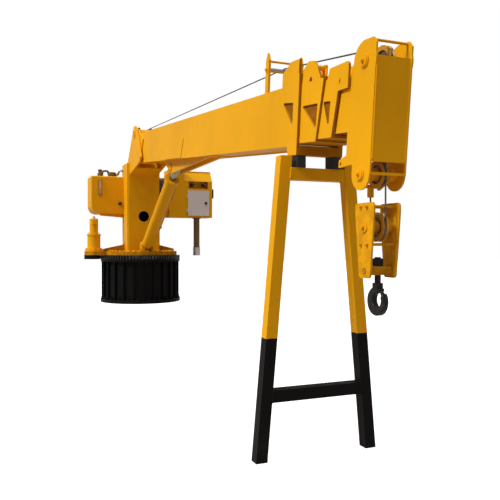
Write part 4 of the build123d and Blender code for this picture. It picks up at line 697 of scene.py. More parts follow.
# Rings of the hook's nose: height over the middle of the hook's bowl, inner edge, outer edge, half width
HOOK_NOSE = (
    (0.0270, 0.0570, 0.0862, 0.0210),
    (0.0295, 0.0549, 0.0868, 0.0217),
    (0.0320, 0.0566, 0.0860, 0.0216),
    (0.0350, 0.0600, 0.0848, 0.0212),
    (0.0385, 0.0645, 0.0834, 0.0204),
    (0.0430, 0.0672, 0.0815, 0.0190),
    (0.0475, 0.0690, 0.0794, 0.0170),
    (0.0515, 0.0705, 0.0772, 0.0140),
    (0.0540, 0.0722, 0.0750, 0.0080),
    (0.0545, 0.0733, 0.0740, 0.0030),
)
# Shares of the bead's radius for the seams of pedestal and tower foot, and of the boom head
WIDE_BEAD, FINE_BEAD = 1.3, 0.8
# Sun lamps: spread in degrees and direction of the light
SUNS = {"key": (14.0, (-0.04, 0.74, -0.67)), "top": (50.0, (-0.2, 0.1, -1.0))}


def skin(rings, looped=False):
    """Points and faces over rings of points (..., ring, point, xyz): quads join each ring to the next, and an open
    stack is closed by its end rings, a looped one by joining its last ring to its first."""
    rows, columns = rings.shape[-3:-1]
    i, j = np.meshgrid(np.arange(rows if looped else rows - 1), np.arange(columns), indexing="ij")
    near, far = i * columns, (i + 1) % rows * columns
    quads = np.stack((near + j, near + (j + 1) % columns, far + (j + 1) % columns, far + j), -1).reshape(-1, 4)
    points = rings.reshape(-1, 3)
    start = np.arange(0, len(points), rows * columns)[:, None, None]
    faces = [(quads + start).reshape(-1, 4)]
    if not looped:
        ring = np.arange(columns)
        ends = np.stack((ring[::-1], ring + (rows - 1) * columns))
        faces.append((ends + start).reshape(-1, columns))
    return points, faces


def piece(name, skins, finish, crease=PLATE):
    """One mesh object from several skins, smooth except at edges sharper than the crease angle, with its finish's
    material."""
    points, faces, offset = [], [], 0
    for vertices, blocks in skins:
        for block in blocks:
            faces += (block + offset).tolist()
        points.append(vertices)
        offset += len(vertices)
    mesh = bpy.data.meshes.new(name)
    mesh.from_pydata(np.concatenate(points).tolist(), [], faces)
    mesh.polygons.foreach_set("use_smooth", np.ones(len(mesh.polygons), bool))
    mesh.set_sharp_from_angle(angle=math.radians(crease))
    mesh.materials.append(finish_of(finish))
    made = bpy.data.objects.new(name, mesh)
    bpy.context.scene.collection.objects.link(made)
    return made


def fit(name, body, skins, finish, crease=PLATE):
    """A piece that rides on a body."""
    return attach(piece(name, skins, finish, crease), body)


def unit(vectors):
    """Vectors scaled to length one."""
    return vectors / np.linalg.norm(vectors, axis=-1, keepdims=True)


def turns(count, first=0.0):
    """Even angles round a full turn."""
    return first + np.arange(count) * 2 * np.pi / count


def walked(path):
    """Distance of each point of a path from its start, along the path."""
    return np.concatenate(((0.0,), np.cumsum(np.linalg.norm(np.diff(path, axis=0), axis=1))))


def sweep(path, radius, columns=12, beside=ACROSS, looped=False):
    """Tube skin: circle points, path + radius * (cos a * side + sin a * tangent x side), at each path point. The
    side is the given vector less its share along the path; radius may vary by ring and by point."""
    ahead = np.roll(path, -1, 0) - np.roll(path, 1, 0) if looped else np.gradient(path, axis=0)
    tangent = unit(ahead)
    side = np.broadcast_to(beside, path.shape)
    side = unit(side - (side * tangent).sum(-1, keepdims=True) * tangent)
    other = np.cross(tangent, side)
    angle = turns(columns)
    radius = np.broadcast_to(np.asarray(radius, float), (len(path), columns))[..., None]
    ring = np.cos(angle)[None, :, None] * side[:, None] + np.sin(angle)[None, :, None] * other[:, None]
    return skin(path[:, None] + radius * ring, looped)


def stepped(corners, step):
    """Points at an even step along a line through the corners, ends included."""
    corners = np.asarray(corners, float)
    reach = walked(corners)
    at = np.linspace(0.0, reach[-1], max(2, int(reach[-1] / step) + 1))
    return np.stack([np.interp(at, reach, corners[:, k]) for k in range(3)], -1)


def bent(corners, radius, step=0.012):
    """A pipe's line: straight runs joined by parabolic bends that start one radius before each corner and follow
    (1-t)^2 a + 2t(1-t) b + t^2 c."""
    corners = np.asarray(corners, float)
    t = np.linspace(0.0, 1.0, 9)[:, None]
    parts = [corners[:1]]
    for before, at, after in zip(corners[:-2], corners[1:-1], corners[2:]):
        a, c = (at + unit(end - at) * min(radius, np.linalg.norm(end - at) / 2) for end in (before, after))
        parts.append((1 - t) ** 2 * a + 2 * t * (1 - t) * at + t**2 * c)
    parts.append(corners[-1:])
    return stepped(np.concatenate(parts), step)


def arc(centre, radius, angle):
    """Points on a circle in the crane's middle plane, at angles from +X up."""
    return centre + radius * (np.cos(angle)[:, None] * FORWARD + np.sin(angle)[:, None] * UP)


def turned(radii, heights):
    """Rings round +Z, from the radius of each ring at even angles and the height of each ring."""
    angle = turns(radii.shape[1])
    heights = np.broadcast_to(np.asarray(heights, float)[:, None], radii.shape)
    return np.stack((radii * np.cos(angle), radii * np.sin(angle), heights), -1)


def lathe(profile, columns=24):
    """Rings of a turned body along +Z: each (radius, height) of the profile swung round the axis."""
    radius, height = np.asarray(profile, float).T
    return turned(np.repeat(radius[:, None], columns, 1), height)


def ridged(radii, heights, ridge, waves, samples, columns, drawn=0.0):
    """Rings of a rubber sleeve along +Z: at t from 0 to 1 the radius and height between those of its ends, plus
    ridge |sin(waves pi t)|, and drawn in at both ends."""
    t = np.linspace(0.0, 1.0, samples)
    radius = np.interp(t, (0, 1), radii) + ridge * np.abs(np.sin(waves * np.pi * t)) - drawn * (t * (1 - t) == 0)
    return lathe(np.stack((radius, np.interp(t, (0, 1), heights)), -1), columns)


def bolt(flats, head, stud=0.0):
    """Rings of a bolt on its seat along +Z: round washer, six-sided head of radius (flats / 2) / cos(angle from the
    middle of the nearest flat), chamfered top and, for a nut, the round end of its stud."""
    six = flats / 2 / np.cos((turns(12) % (np.pi / 3)) - np.pi / 6)
    disc = flats * np.ones(12)
    low = 0.12 * flats
    radii = [0.62 * disc, 0.62 * disc, six, six, np.minimum(six, 0.49 * flats)]
    heights = [0.0, low, low, low + 0.86 * head, low + head]
    if stud:
        radii += [0.3 * disc, 0.27 * disc]
        heights += [low + head, low + head + stud]
    return turned(np.array(radii), heights)


def frame_bolt():
    """Rings of a frame bolt."""
    return bolt(bpy.context.scene.crane_fasteners.frame, FRAME_HEAD)


def small_bolt():
    """Rings of a small bolt."""
    return bolt(bpy.context.scene.crane_fasteners.small, SMALL_HEAD)


def placed(rings, seats, axes):
    """Copies of a ring stack, each at its seat with its +Z turned to its axis."""
    seats = np.atleast_2d(np.asarray(seats, float))
    axes = unit(np.broadcast_to(np.asarray(axes, float), seats.shape))
    helper = np.where(np.abs(axes[:, :1]) < 0.9, FORWARD, ACROSS)
    side = unit(np.cross(helper, axes))
    basis = np.stack((side, np.cross(axes, side), axes), 1)
    return skin(seats[:, None, None] + np.einsum("rcj,kjx->krcx", rings, basis))


def circle_seats(centre, axis, radius, count, first=0.0):
    """Points evenly round a circle about an upright or a cross axis."""
    side = np.cross(axis, FORWARD)
    angle = turns(count, first)
    return centre + radius * (np.cos(angle)[:, None] * side + np.sin(angle)[:, None] * np.cross(axis, side))


def bead(corners, radius, beside=ACROSS, looped=False):
    """A weld: a tube along the joint whose radius rises and falls with each ripple, r (1 + 0.14 |sin|)."""
    path = stepped(corners, radius * 1.4)
    if looped:
        path = path[:-1]
    swell = radius * (1 + 0.14 * np.abs(np.sin(np.arange(len(path)) * 0.9)))
    return sweep(path, swell[:, None], 8, beside, looped)


def rounded(columns, power):
    """Points of the superellipse |u|^p + |v|^p = 1 at even angles."""
    angle = turns(columns)
    c, s = np.cos(angle), np.sin(angle)
    scale = (np.abs(c) ** power + np.abs(s) ** power) ** (-1 / power)
    return c * scale, s * scale


def slab(centre, along, over, size, columns=28, power=7.0):
    """A plate with softened corners: superellipse outline |u|^p + |v|^p = 1 carried through its thickness, its rim
    drawn in at both faces."""
    over = unit(np.asarray(over, float))
    c, s = rounded(columns, power)
    length, width, thick = np.asarray(size, float) / 2
    soft = 0.25 * thick
    levels = np.array((-thick, -thick + soft, thick - soft, thick))[:, None, None]
    inset = np.array((soft, 0.0, 0.0, soft))[:, None]
    u, v = (length - inset) * c, (width - inset) * s
    return skin(centre + u[..., None] * along + v[..., None] * over + levels * np.cross(along, over))


def frame_path(centre, along, over, half, radius, step):
    """Closed path round a rectangle with round corners: at angle a the corner of a's quadrant, drawn in by the
    radius, plus radius * (cos a, sin a)."""
    angle = turns(40, 0.01)
    corner = np.stack((np.cos(angle), np.sin(angle)), -1)
    flat = np.sign(corner) * (np.asarray(half, float) - radius) + radius * corner
    loop = centre + flat[:, :1] * along + flat[:, 1:] * over
    return stepped(np.concatenate((loop, loop[:1])), step)


def ring_path(centre, radius, step):
    """Closed level circle."""
    loop = circle_seats(centre, UP, radius, int(2 * np.pi * radius / step))
    return np.concatenate((loop, loop[:1]))


class CRANE_OT_finishes(bpy.types.Operator):
    """Give every CAD node its finish"""

    bl_idname = "crane.finishes"
    bl_label = "Finishes"

    def execute(self, context):
        slots = {part["node"]: part["material_slot"] for part in FRAME["record"]["subparts"]}
        for name, node in NODES.items():
            if name in SHADE_AND_GREASE_UNDER:
                finish = Finish(name + "_yellow")
                material = section_yellow(finish, context.scene.crane_colours, name, SHADE_AND_GREASE_UNDER[name])
            else:
                material = finish_of(NODE_FINISH.get(name, slots[name]))
            node.data.materials.clear()
            node.data.materials.append(material)
        return {"FINISHED"}


class CRANE_OT_rope(bpy.types.Operator):
    """Lay the stranded hoist rope from drum to hook block"""

    bl_idname = "crane.rope"
    bl_label = "Hoist rope"

    def strands(self, name, path, beside=ACROSS):
        """Rope skin: radius R (0.8 + 0.2 |cos(n (a - w) / 2)|) round the line, the lobes turning by w, once round
        with each lay."""
        size = bpy.context.scene.crane_rope
        angle = turns(18)
        lobes = np.abs(np.cos(size.strands * (angle - 2 * np.pi * walked(path)[:, None] / size.lay) / 2))
        made = sweep(path, size.diameter / 2 * (0.8 + 0.2 * lobes), len(angle), beside)
        return piece(name, [made], "rope", SMOOTH)

    def execute(self, context):
        size = context.scene.crane_rope
        drum_x, drum_z = boom_xz(pin_of("drum_spin"))
        guide_x, guide_z = boom_xz(pin_of("roller_spin"))
        top_x, top_z = boom_xz(pin_of("head_sheave_spin"))
        low_axle, block = pin_of("foot_sheave_spin"), pin_of("fall_sheave_spin")

        # The winding drifts sideways and ends on the boom's middle plane
        low, high = box_of("rope_winding")
        turn = np.linspace(-size.wind_turns, 0.0, 48 * size.wind_turns)
        drift = -math.copysign(size.wind_pitch, low[1] + high[1]) * turn
        angle = turn * 2 * np.pi
        wound = on_boom(drum_x + size.wind_radius * np.sin(angle), drum_z + size.wind_radius * np.cos(angle), drift)
        winding = self.strands("hoist_rope_winding", wound, unit(wound - on_boom(drum_x, drum_z, drift)))
        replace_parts(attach(winding, "drum"), "rope_winding")

        # The run touches the top sheave where its line from the guide is square to the sheave's radius
        low, high = box_of("guide_roller")
        crown = guide_z + (high[0] - low[0]) / 2 + size.diameter / 2 + size.roller_gap
        along, rise = top_x - guide_x, top_z - crown
        touch = math.atan2(rise, along) + math.asin(size.top_radius / math.hypot(along, rise)) + math.pi / 2
        corners = on_boom(
            (drum_x, guide_x, top_x + size.top_radius * math.cos(touch)),
            (drum_z + size.wind_radius, crown, top_z + size.top_radius * math.sin(touch)),
        )
        run = self.strands("hoist_rope_run", stepped(corners, size.step))
        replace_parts(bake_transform(run), "rope_run")

        angle = np.linspace(touch, 0.0, 60)
        over = on_boom(top_x + size.top_radius * np.cos(angle), top_z + size.top_radius * np.sin(angle))
        lean = math.atan2(BOOM_ALONG[2], BOOM_ALONG[0])
        onto = arc(low_axle, size.low_radius, np.linspace(lean, 0.0, 6))
        wrap = self.strands("hoist_rope_wrap", stepped(np.concatenate((over, onto)), size.step))
        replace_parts(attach(wrap, "stage_4"), "rope_wrap")

        # The lap on the low sheave is short at rest and grows round the sheave as the boom rises
        round_low = arc(low_axle, size.low_radius, np.linspace(size.lap, -size.lap, 64))
        lap = self.strands("hoist_rope_lap", round_low)
        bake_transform(lap)

        live = low_axle + size.low_radius * FORWARD
        dead = np.array((block[0] - size.block_radius, 0.0, size.dead_top))
        falls = [
            self.strands("hoist_fall_" + name, stepped((start, (start[0], 0.0, block[2])), size.step))
            for name, start in (("live", live), ("dead", dead))
        ]
        for fall in falls:
            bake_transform(fall)
        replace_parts(falls[0], "rope_falls")

        bight = self.strands("hoist_rope_bight", arc(block, size.block_radius, np.linspace(0.0, -math.pi, 90)))
        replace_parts(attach(bight, "block"), "rope_bight")
        return {"FINISHED"}


class CRANE_OT_bolts(bpy.types.Operator):
    """Fit the bolt circles, keeper bolts and studs"""

    bl_idname = "crane.bolts"
    bl_label = "Bolts"

    def execute(self, context):
        size = context.scene.crane_fasteners
        stud = bolt(size.stud, STUD_HEAD, STUD_END)
        seats = circle_seats(size.foot_top * UP, UP, size.stud_circle, size.studs, math.pi / 2)
        fit("foot_studs", "base", [placed(stud, seats, UP)], "black_paint")

        deck = box_of("tower")[0][2]
        first = math.pi / size.ring_bolts - math.pi / 2
        seats = circle_seats(deck * UP, UP, size.ring_circle, size.ring_bolts, first)
        seats = seats[seats[:, 0] < size.ring_circle * math.cos(size.lug_gap)]
        fit("ring_bolts", "column", [placed(bolt(size.ring, RING_HEAD), seats, UP)], "yellow")

        foot = pin_of("pinion_spin") * (1.0, 1.0, 0.0) + deck * UP
        skins = [
            placed(rings, circle_seats(foot + height * UP, UP, *circle), UP)
            for rings, (height, *circle) in zip((frame_bolt(), small_bolt()), DRIVE_CIRCLES)
        ]
        fit("drive_bolts", "column", skins, "yellow")

        for node, (joint, body) in PINS.items():
            low, high = box_of(node)
            radius = PIN_CIRCLE * (high[2] - low[2])
            skins = []
            for face, axis in ends_of(node):
                centre = pin_of(joint) + face * ACROSS
                seats = circle_seats(centre, axis, radius, PIN_BOLTS, PIN_FIRST)
                skins.append(placed(small_bolt(), seats, axis))
                skins.append(placed(lathe(NIPPLE, 12), centre, axis))
            fit(node + "_bolts", body, skins, NODE_FINISH[node])

        skins = [
            placed(frame_bolt(), pin_of(joint) + face * ACROSS, axis)
            for joint in ("head_sheave_spin", "foot_sheave_spin")
            for face, axis in ends_of("head_axles")
        ]
        fit("head_axle_bolts", "stage_4", skins, "yellow")
        return {"FINISHED"}


class CRANE_OT_welds(bpy.types.Operator):
    """Weld in the pedestal's ribs and run the beads along the joints of the steelwork"""

    bl_idname = "crane.welds"
    bl_label = "Welds"

    def execute(self, context):
        size = context.scene.crane_fasteners
        r = size.bead
        rings = [
            bead(ring_path(z * UP, size.shell, step=0.01), WIDE_BEAD * r, UP, True)
            for z in (size.foot_top, size.crown_under)
        ]
        fit("pedestal_welds", "base", rings, "black_paint", SMOOTH)

        tall = size.crown_under - size.foot_top
        middle, radius = (size.foot_top + tall / 2) * UP, size.shell + size.ribs_out / 2
        seats = circle_seats(middle, UP, radius, size.studs, math.pi / size.studs)
        plate = (tall, size.ribs_out + 3 * SUNK, size.ribs_thick)
        ribs = [slab(seat, UP, seat * (1.0, 1.0, 0.0), plate, 40, 40.0) for seat in seats]
        fit("pedestal_ribs", "base", ribs, "black_paint")

        (back, _, deck), (front, side, top) = box_of("tower")
        (ear_back, ear_low, ear_foot), (_, ear_high, _) = box_of("tower_ears")
        middle, half = np.array(((back + front) / 2, 0.0, deck)), ((front - back) / 2, side)
        foot = frame_path(middle, FORWARD, ACROSS, half, size.tower_corner, step=0.01)
        skins = [bead(foot, WIDE_BEAD * r, UP, True)]
        for y in (ear_low, ear_low + size.ear, ear_high - size.ear, ear_high):
            skins.append(bead(((ear_back + size.seam_end, y, top), (front, y, top)), r))
            skins.append(bead(((front, y, top), (front, y, ear_foot + size.seam_end)), r))
        for y, end in ((-side, -size.rib_end), (side, size.rib_end)):
            for x in (-size.rib_half, size.rib_half):
                skins.append(bead(((x, y, deck), (x, end, deck)), r, UP))
                skins.append(bead(((x, y, deck), (x, y, deck + size.rib)), r, FORWARD))
        fit("tower_welds", "column", skins, "yellow", SMOOTH)

        reach = (size.boom_tail, boom_xz(box_of("base_collar")[0])[0] - size.boom_front)
        skins = [
            bead(on_boom(reach, z, y), r)
            for y in (-size.web_in, size.web_in)
            for z in (-size.flange_inset, size.flange_inset - size.boom_height)
        ]
        fit("boom_welds", "boom", skins, "yellow", SMOOTH)

        heights = (boom_xz(pin_of("foot_sheave_spin"))[1] + size.head_foot, size.head_crown)
        seams = (-size.head_seam, size.head_seam)
        skins = [bead(on_boom(size.head_face, heights, y), FINE_BEAD * r) for y in seams]
        fit("head_welds", "stage_4", skins, "yellow", SMOOTH)

        legs_low, legs_high = box_of("rest_legs")
        bars_low, bars_high = box_of("rest_bars")
        middle, half = (legs_low[0] + legs_high[0]) / 2 * FORWARD, (legs_high[0] - legs_low[0]) / 2
        skins = []
        for z in (bars_high[2] - half, bars_low[2] + half):
            for sign in (-1.0, 1.0):
                loop = frame_path(middle + z * UP, FORWARD, UP, (half, half), size.leg_corner, step=0.009)
                loop[:, 1] = sign * (size.leg_inner + size.leg_lean * (legs_high[2] - loop[:, 2]))
                skins.append(bead(loop, r, ACROSS, True))
        fit("rest_welds", "base", skins, "two_tone", SMOOTH)
        return {"FINISHED"}


class CRANE_OT_luff_line(bpy.types.Operator):
    """Lay the pipe on the luffing barrel"""

    bl_idname = "crane.luff_line"
    bl_label = "Luff line"

    def execute(self, context):
        size = context.scene.crane_pipes
        beside = size.barrel + size.line_out
        first, last = size.port_start, np.linalg.norm(LUFF_REACH) - size.gland_back
        line = on_luff((first, first, last, last), 0.0, (size.barrel, beside, beside, size.barrel))
        skins = [sweep(bent(line, size.line_bend), size.line, 14, LUFF_UP)]
        for x in (first, last):
            skins.append(slab(on_luff(x, 0.0, size.barrel + size.port_out), LUFF_ALONG, LUFF_UP, size.port))
        fit("barrel_line", "barrel", skins, "yellow")

        places = np.linspace(first, last, size.clamps + 2)[1:-1]
        clamps = [slab(on_luff(x, 0.0, beside), LUFF_ALONG, LUFF_UP, size.clamp) for x in places]
        fit("barrel_clamps", "barrel", clamps, "yellow")
        return {"FINISHED"}


class CRANE_OT_tank_pipes(bpy.types.Operator):
    """Fit the tank's return line, filler cap and breather"""

    bl_idname = "crane.tank_pipes"
    bl_label = "Tank pipes"

    def execute(self, context):
        size = context.scene.crane_pipes
        low, high = box_of("tank_fittings")
        tank_low, tank_high = box_of("oil_tank")
        head_x, head_y = low[0] + size.filter_head, high[1] - size.filter_head
        _, wall, top = tank_high
        nut = lathe(PIPE_NUT, 6)

        inward, before, above = size.entry
        enter, rise = box_of("tower")[0][0] + inward, top + size.head_port
        line = np.array(
            (
                (head_x, high[1] - 2 * SUNK, rise),
                (head_x, wall - before, rise),
                (enter, wall - before, rise + above),
                (enter, wall + SUNK, rise + above),
            )
        )
        seats = (line[0] + SUNK / 2 * ACROSS, line[3] - SUNK * ACROSS)
        pipe = sweep(bent(line, size.bend, 0.008), size.return_line, 16, UP)
        fit("tank_return_line", "column", [pipe, placed(nut, seats, (ACROSS, -ACROSS))], "zinc")

        seat = np.array((tank_low[0], tank_low[1], top)) + np.array(size.filler)
        fit("filler_cap", "column", [placed(lathe(FILLER_CAP), seat, UP)], "oiled")

        forward, aside, above = size.breather
        foot = np.array((head_x + forward, (tank_low[1] + head_y) / 2 + aside, top))
        neck, rise = foot + size.breather_neck * ACROSS, above * UP
        line = np.array((foot - SUNK * UP, foot + rise, neck + rise, neck + 0.5 * rise))
        pipe = sweep(bent(line, size.bend, 0.006), size.return_line, 16, FORWARD)
        fit("tank_breather", "column", [pipe, placed(nut, foot, UP)], "oiled")
        return {"FINISHED"}


class CRANE_OT_ports(bpy.types.Operator):
    """Fit the slew motor's ports and the return pipe's coupling"""

    bl_idname = "crane.ports"
    bl_label = "Ports"

    def execute(self, context):
        size = context.scene.crane_pipes
        drive, top = pin_of("pinion_spin"), box_of("slew_drive")[1][2]
        seats = [(drive[0] + x, drive[1], top) for x in (-size.motor_port, size.motor_port)]
        fit("motor_ports", "column", [placed(bolt(size.motor_port, PORT_HEAD, PORT_END), seats, UP)], "zinc")

        low, high = box_of("return_pipe")
        sleeve = lathe(np.array(COUPLING) + (size.coupling, 0.0), 36)
        fit("pipe_coupling", "column", [placed(sleeve, (*(low + high)[:2] / 2, low[2]), UP)], "zinc")
        return {"FINISHED"}


class CRANE_OT_gauge(bpy.types.Operator):
    """Fit the tank's gauge glass with its bolts, and the plug"""

    bl_idname = "crane.gauge"
    bl_label = "Gauge"

    def execute(self, context):
        size = context.scene.crane_pipes
        low, high = box_of("tank_fittings")
        face = np.array((high[0], low[1] + size.gauge_in, low[2] + size.gauge_up))
        fit("gauge_glass", "column", [slab(face + size.gauge_out * FORWARD, UP, ACROSS, size.gauge)], "glass")
        seats = (face - size.gauge_bolt * UP, face + size.gauge_bolt * UP)
        fit("gauge_bolts", "column", [placed(bolt(*GAUGE_BOLT), seats, FORWARD)], "zinc")

        low, high = box_of("oil_tank")
        plug = placed(bolt(size.plug, PLUG_HEAD), (high[0], high[1] - size.plug_in, low[2] + size.plug_up), FORWARD)
        fit("tank_plug", "column", [plug], "black_plastic")
        return {"FINISHED"}


class CRANE_OT_grip(bpy.types.Operator):
    """Sleeve the grab handle of the cabinet"""

    bl_idname = "crane.grip"
    bl_label = "Grip"

    def execute(self, context):
        size = context.scene.crane_trim
        reach = size.grip_long / 2
        sleeve = ridged(
            (size.grip, size.grip), (-reach, reach), ridge=0.0008, waves=14, samples=57, columns=20, drawn=0.004
        )
        behind, aside, height = size.handle
        seat = (box_of("door")[0][0] - behind, box_of("cabinet")[1][1] - aside, height)
        fit("handle_grip", "column", [placed(sleeve, seat, UP)], "black_rubber")
        return {"FINISHED"}


class CRANE_OT_hatch(bpy.types.Operator):
    """Bolt the hatch on the tower's back"""

    bl_idname = "crane.hatch"
    bl_label = "Hatch"

    def execute(self, context):
        size = context.scene.crane_trim
        low, _ = box_of("tower")
        tall, wide, thick = size.hatch
        middle = np.array((low[0] - size.hatch_out, 0.0, low[2] + size.hatch_up))
        side, end = wide / 2 - size.hatch_edge, tall / 2 - size.hatch_edge
        y, z = np.meshgrid((-side, 0.0, side), (-end, -size.hatch_inner, size.hatch_inner, end))
        rim = (y != 0) | (np.abs(z) == end)
        seats = middle - thick / 2 * FORWARD + y[rim][:, None] * ACROSS + z[rim][:, None] * UP
        skins = [slab(middle, UP, ACROSS, size.hatch, 48, 12.0), placed(small_bolt(), seats, -FORWARD)]
        fit("tower_hatch", "column", skins, "yellow")
        return {"FINISHED"}


class CRANE_OT_cabinet(bpy.types.Operator):
    """Fit the cabinet's door seal, bay screws and lever boots"""

    bl_idname = "crane.cabinet"
    bl_label = "Cabinet trim"

    def execute(self, context):
        size = context.scene.crane_trim
        low, high = box_of("door")
        inset, behind, radius = size.seal
        wide, tall = high[1] - low[1] - size.hinge_strip, high[2] - low[2]
        middle = np.array((low[0] - behind, high[1] - wide / 2, (low[2] + high[2]) / 2))
        half = (wide / 2 - inset, tall / 2 - inset)
        seal = frame_path(middle, ACROSS, UP, half, size.seal_corner, step=0.012)[:-1]
        fit("door_seal", "door", [sweep(seal, radius, 8, FORWARD, True)], "black_rubber")

        levers = [pin_of(joint) for joint in ("lever_a_tilt", "lever_b_tilt")]
        bay = (levers[0] + levers[1]) / 2
        behind, side, end = size.bay
        seats = [(low[0] - behind, bay[1] + y, bay[2] + z) for y in (-side, side) for z in (-end, end)]
        fit("bay_screws", "column", [placed(bolt(*BAY_SCREW), seats, FORWARD)], "yellow")

        start, wide, narrow = size.boot
        ends = (start, start + size.boot_long)
        boot = ridged((wide, narrow), ends, ridge=0.0035, waves=5, samples=25, columns=24)
        for lever, body in zip(levers, ("lever_a", "lever_b")):
            fit(body + "_boot", body, [placed(boot, lever, FORWARD)], "black_rubber", SMOOTH)
        return {"FINISHED"}


class CRANE_OT_hook(bpy.types.Operator):
    """Bolt the hook block and close the hook with its nose"""

    bl_idname = "crane.hook"
    bl_label = "Hook block"

    def execute(self, context):
        size = context.scene.crane_trim
        places = [(x, z) for x in (-size.cheek_side, size.cheek_side) for z in (size.cheek_top, -size.cheek_foot)]
        skins = []
        for face, axis in ends_of("block_frame"):
            pin = pin_of("fall_sheave_spin") + face * ACROSS
            seats = [pin - SUNK * axis + x * FORWARD + z * UP for x, z in places]
            skins += [placed(frame_bolt(), pin, axis), placed(small_bolt(), seats, axis)]
        fit("block_bolts", "block", skins, "block_yellow")

        # The nose is a stack of level superellipses from the table of its rings
        low, high = box_of("hook")
        middle = np.array(((low[0] + high[0]) / 2, 0.0, low[2] + (high[0] - low[0]) / 2))
        height, inner, outer, wide = np.array(HOOK_NOSE).T[..., None, None]
        u, v = (edge[:, None] for edge in rounded(32, 4.5))
        reach = (inner + outer) / 2 + (outer - inner) / 2 * u
        nose = skin(middle + reach * FORWARD + wide * v * ACROSS + height * UP)
        fit("hook_nose", "hook", [nose], "forged", FORGED)
        return {"FINISHED"}


class CRANE_OT_boom_top(bpy.types.Operator):
    """Fit the winch bolts, the rope saddle and the guide bolts"""

    bl_idname = "crane.boom_top"
    bl_label = "Boom top"

    def execute(self, context):
        size = context.scene.crane_trim
        skins = [
            placed(small_bolt(), circle_seats(pin_of("drum_spin") + face * ACROSS, axis, *circle), axis)
            for (face, axis), circle in zip(ends_of("winch_frame"), WINCH_CIRCLES)
        ]
        fit("winch_bolts", "boom", skins, "yellow")

        x, half = boom_xz(box_of("base_collar")[1])[0] - size.saddle_back, size.saddle_half
        skins = [slab(on_boom(x, size.saddle_up, y), BOOM_ALONG, BOOM_UP, size.saddle) for y in (-half, half)]
        skins.append(sweep(on_boom(x, size.bar_up, np.linspace(-half, half, 5)), size.saddle_bar, 20, BOOM_UP))
        fit("collar_saddle", "boom", skins, "yellow")

        roller = pin_of("roller_spin")
        skins = [placed(frame_bolt(), roller + face * ACROSS, axis) for face, axis in ends_of("rope_guide")]
        fit("guide_bolts", "boom", skins, "yellow")
        return {"FINISHED"}


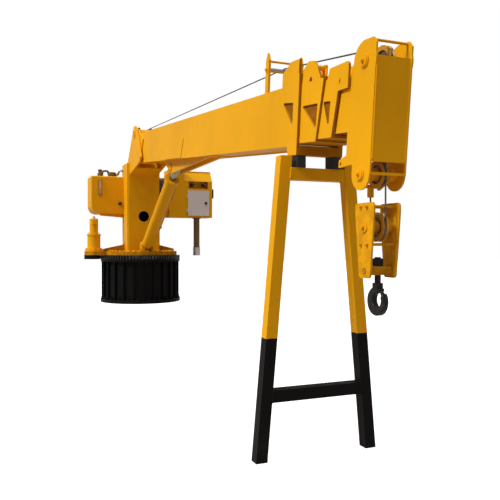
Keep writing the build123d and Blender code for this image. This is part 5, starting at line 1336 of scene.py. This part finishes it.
class CRANE_OT_stage(bpy.types.Operator):
    """Set the floor, the light and the camera"""

    bl_idname = "crane.stage"
    bl_label = "Stage"

    def seen(self, graph, mirror):
        """How much a ray sees of the white backdrop: all for the camera, a share for a mirror image."""
        camera, glossy = (graph.node("LightPath", out=name) for name in ("Is Camera Ray", "Is Glossy Ray"))
        return camera + glossy * mirror

    def execute(self, context):
        scene = context.scene
        look = scene.crane_stage
        scene.view_settings.view_transform = "Standard"

        # The floor is a level grid of eight by eight squares
        edge = np.linspace(-look.floor_half, look.floor_half, 9)
        points = np.stack(np.meshgrid(edge, edge, CAD_BOUNDS[0][2], indexing="ij"), -1).reshape(-1, 3)
        near = (np.arange(8)[:, None] * 9 + np.arange(8)).reshape(-1, 1)
        mesh = bpy.data.meshes.new("floor")
        mesh.from_pydata(points.tolist(), [], (near + (0, 9, 10, 1)).tolist())
        floor = bpy.data.objects.new("floor", mesh)
        scene.collection.objects.link(floor)
        finish = Finish("pale_floor")
        plain = finish.node("BsdfDiffuse", {}, {"Color": look.bounce})
        lit = finish.node("Emission", {}, {"Color": (1.0, 1.0, 1.0), "Strength": self.seen(finish, look.mirror)})
        both = finish.node("AddShader", {}, {0: plain, 1: lit})
        finish.node("OutputMaterial", {}, {"Surface": both})
        mesh.materials.append(finish.block)

        sky = Finish("studio", bpy.data.worlds)
        glow = self.seen(sky, look.mirror) * (1.0 - look.fill) + look.fill
        backdrop = sky.node("Background", {}, {"Color": (1.0, 1.0, 1.0), "Strength": glow})
        sky.node("OutputWorld", {}, {"Surface": backdrop})
        scene.world = sky.block

        for name, (spread, heading) in SUNS.items():
            sun = bpy.data.lights.new(name, "SUN")
            sun.energy = getattr(look, name)
            sun.angle = math.radians(spread)
            lamp = bpy.data.objects.new(name, sun)
            lamp.rotation_euler = Vector(heading).to_track_quat("-Z", "Y").to_euler()
            scene.collection.objects.link(lamp)

        lens = bpy.data.cameras.new("camera")
        lens.sensor_width = 36.0
        lens.lens = look.lens
        lens.clip_end = 200.0
        camera = bpy.data.objects.new("camera", lens)
        camera.location = look.eye
        camera.rotation_euler = (math.pi / 2 + look.nod, 0.0, look.turn)
        scene.collection.objects.link(camera)
        scene.camera = camera
        return {"FINISHED"}


class CRANE_PT_panel(bpy.types.Panel):
    """Sidebar panel of the crane's pieces"""

    bl_label = "Deck Crane"
    bl_space_type = "VIEW_3D"
    bl_region_type = "UI"
    bl_category = "Deck Crane"

    def draw(self, context):
        for operator in OPERATORS:
            self.layout.operator(operator.bl_idname)
        for name in GROUPS:
            group = getattr(context.scene, name)
            for prop in group.bl_rna.properties:
                if prop.identifier not in ("rna_type", "name"):
                    self.layout.prop(group, prop.identifier)


GROUPS = {
    "crane_colours": FinishColours,
    "crane_rope": RopeSizes,
    "crane_fasteners": FastenerSizes,
    "crane_pipes": PipeSizes,
    "crane_trim": TrimSizes,
    "crane_stage": StageSettings,
}
OPERATORS = (
    CRANE_OT_finishes,
    CRANE_OT_rope,
    CRANE_OT_bolts,
    CRANE_OT_welds,
    CRANE_OT_luff_line,
    CRANE_OT_tank_pipes,
    CRANE_OT_ports,
    CRANE_OT_gauge,
    CRANE_OT_grip,
    CRANE_OT_hatch,
    CRANE_OT_cabinet,
    CRANE_OT_hook,
    CRANE_OT_boom_top,
    CRANE_OT_stage,
)


def register():
    for group in (*GROUPS.values(), *OPERATORS, CRANE_PT_panel):
        bpy.utils.register_class(group)
    for name, group in GROUPS.items():
        setattr(bpy.types.Scene, name, PointerProperty(type=group))


def unregister():
    for name in GROUPS:
        delattr(bpy.types.Scene, name)
    for group in (CRANE_PT_panel, *reversed(OPERATORS), *GROUPS.values()):
        bpy.utils.unregister_class(group)


def main():
    register()
    for operator in OPERATORS:
        family, name = operator.bl_idname.split(".")
        getattr(getattr(bpy.ops, family), name)()


if __name__ == "__main__":
    main()
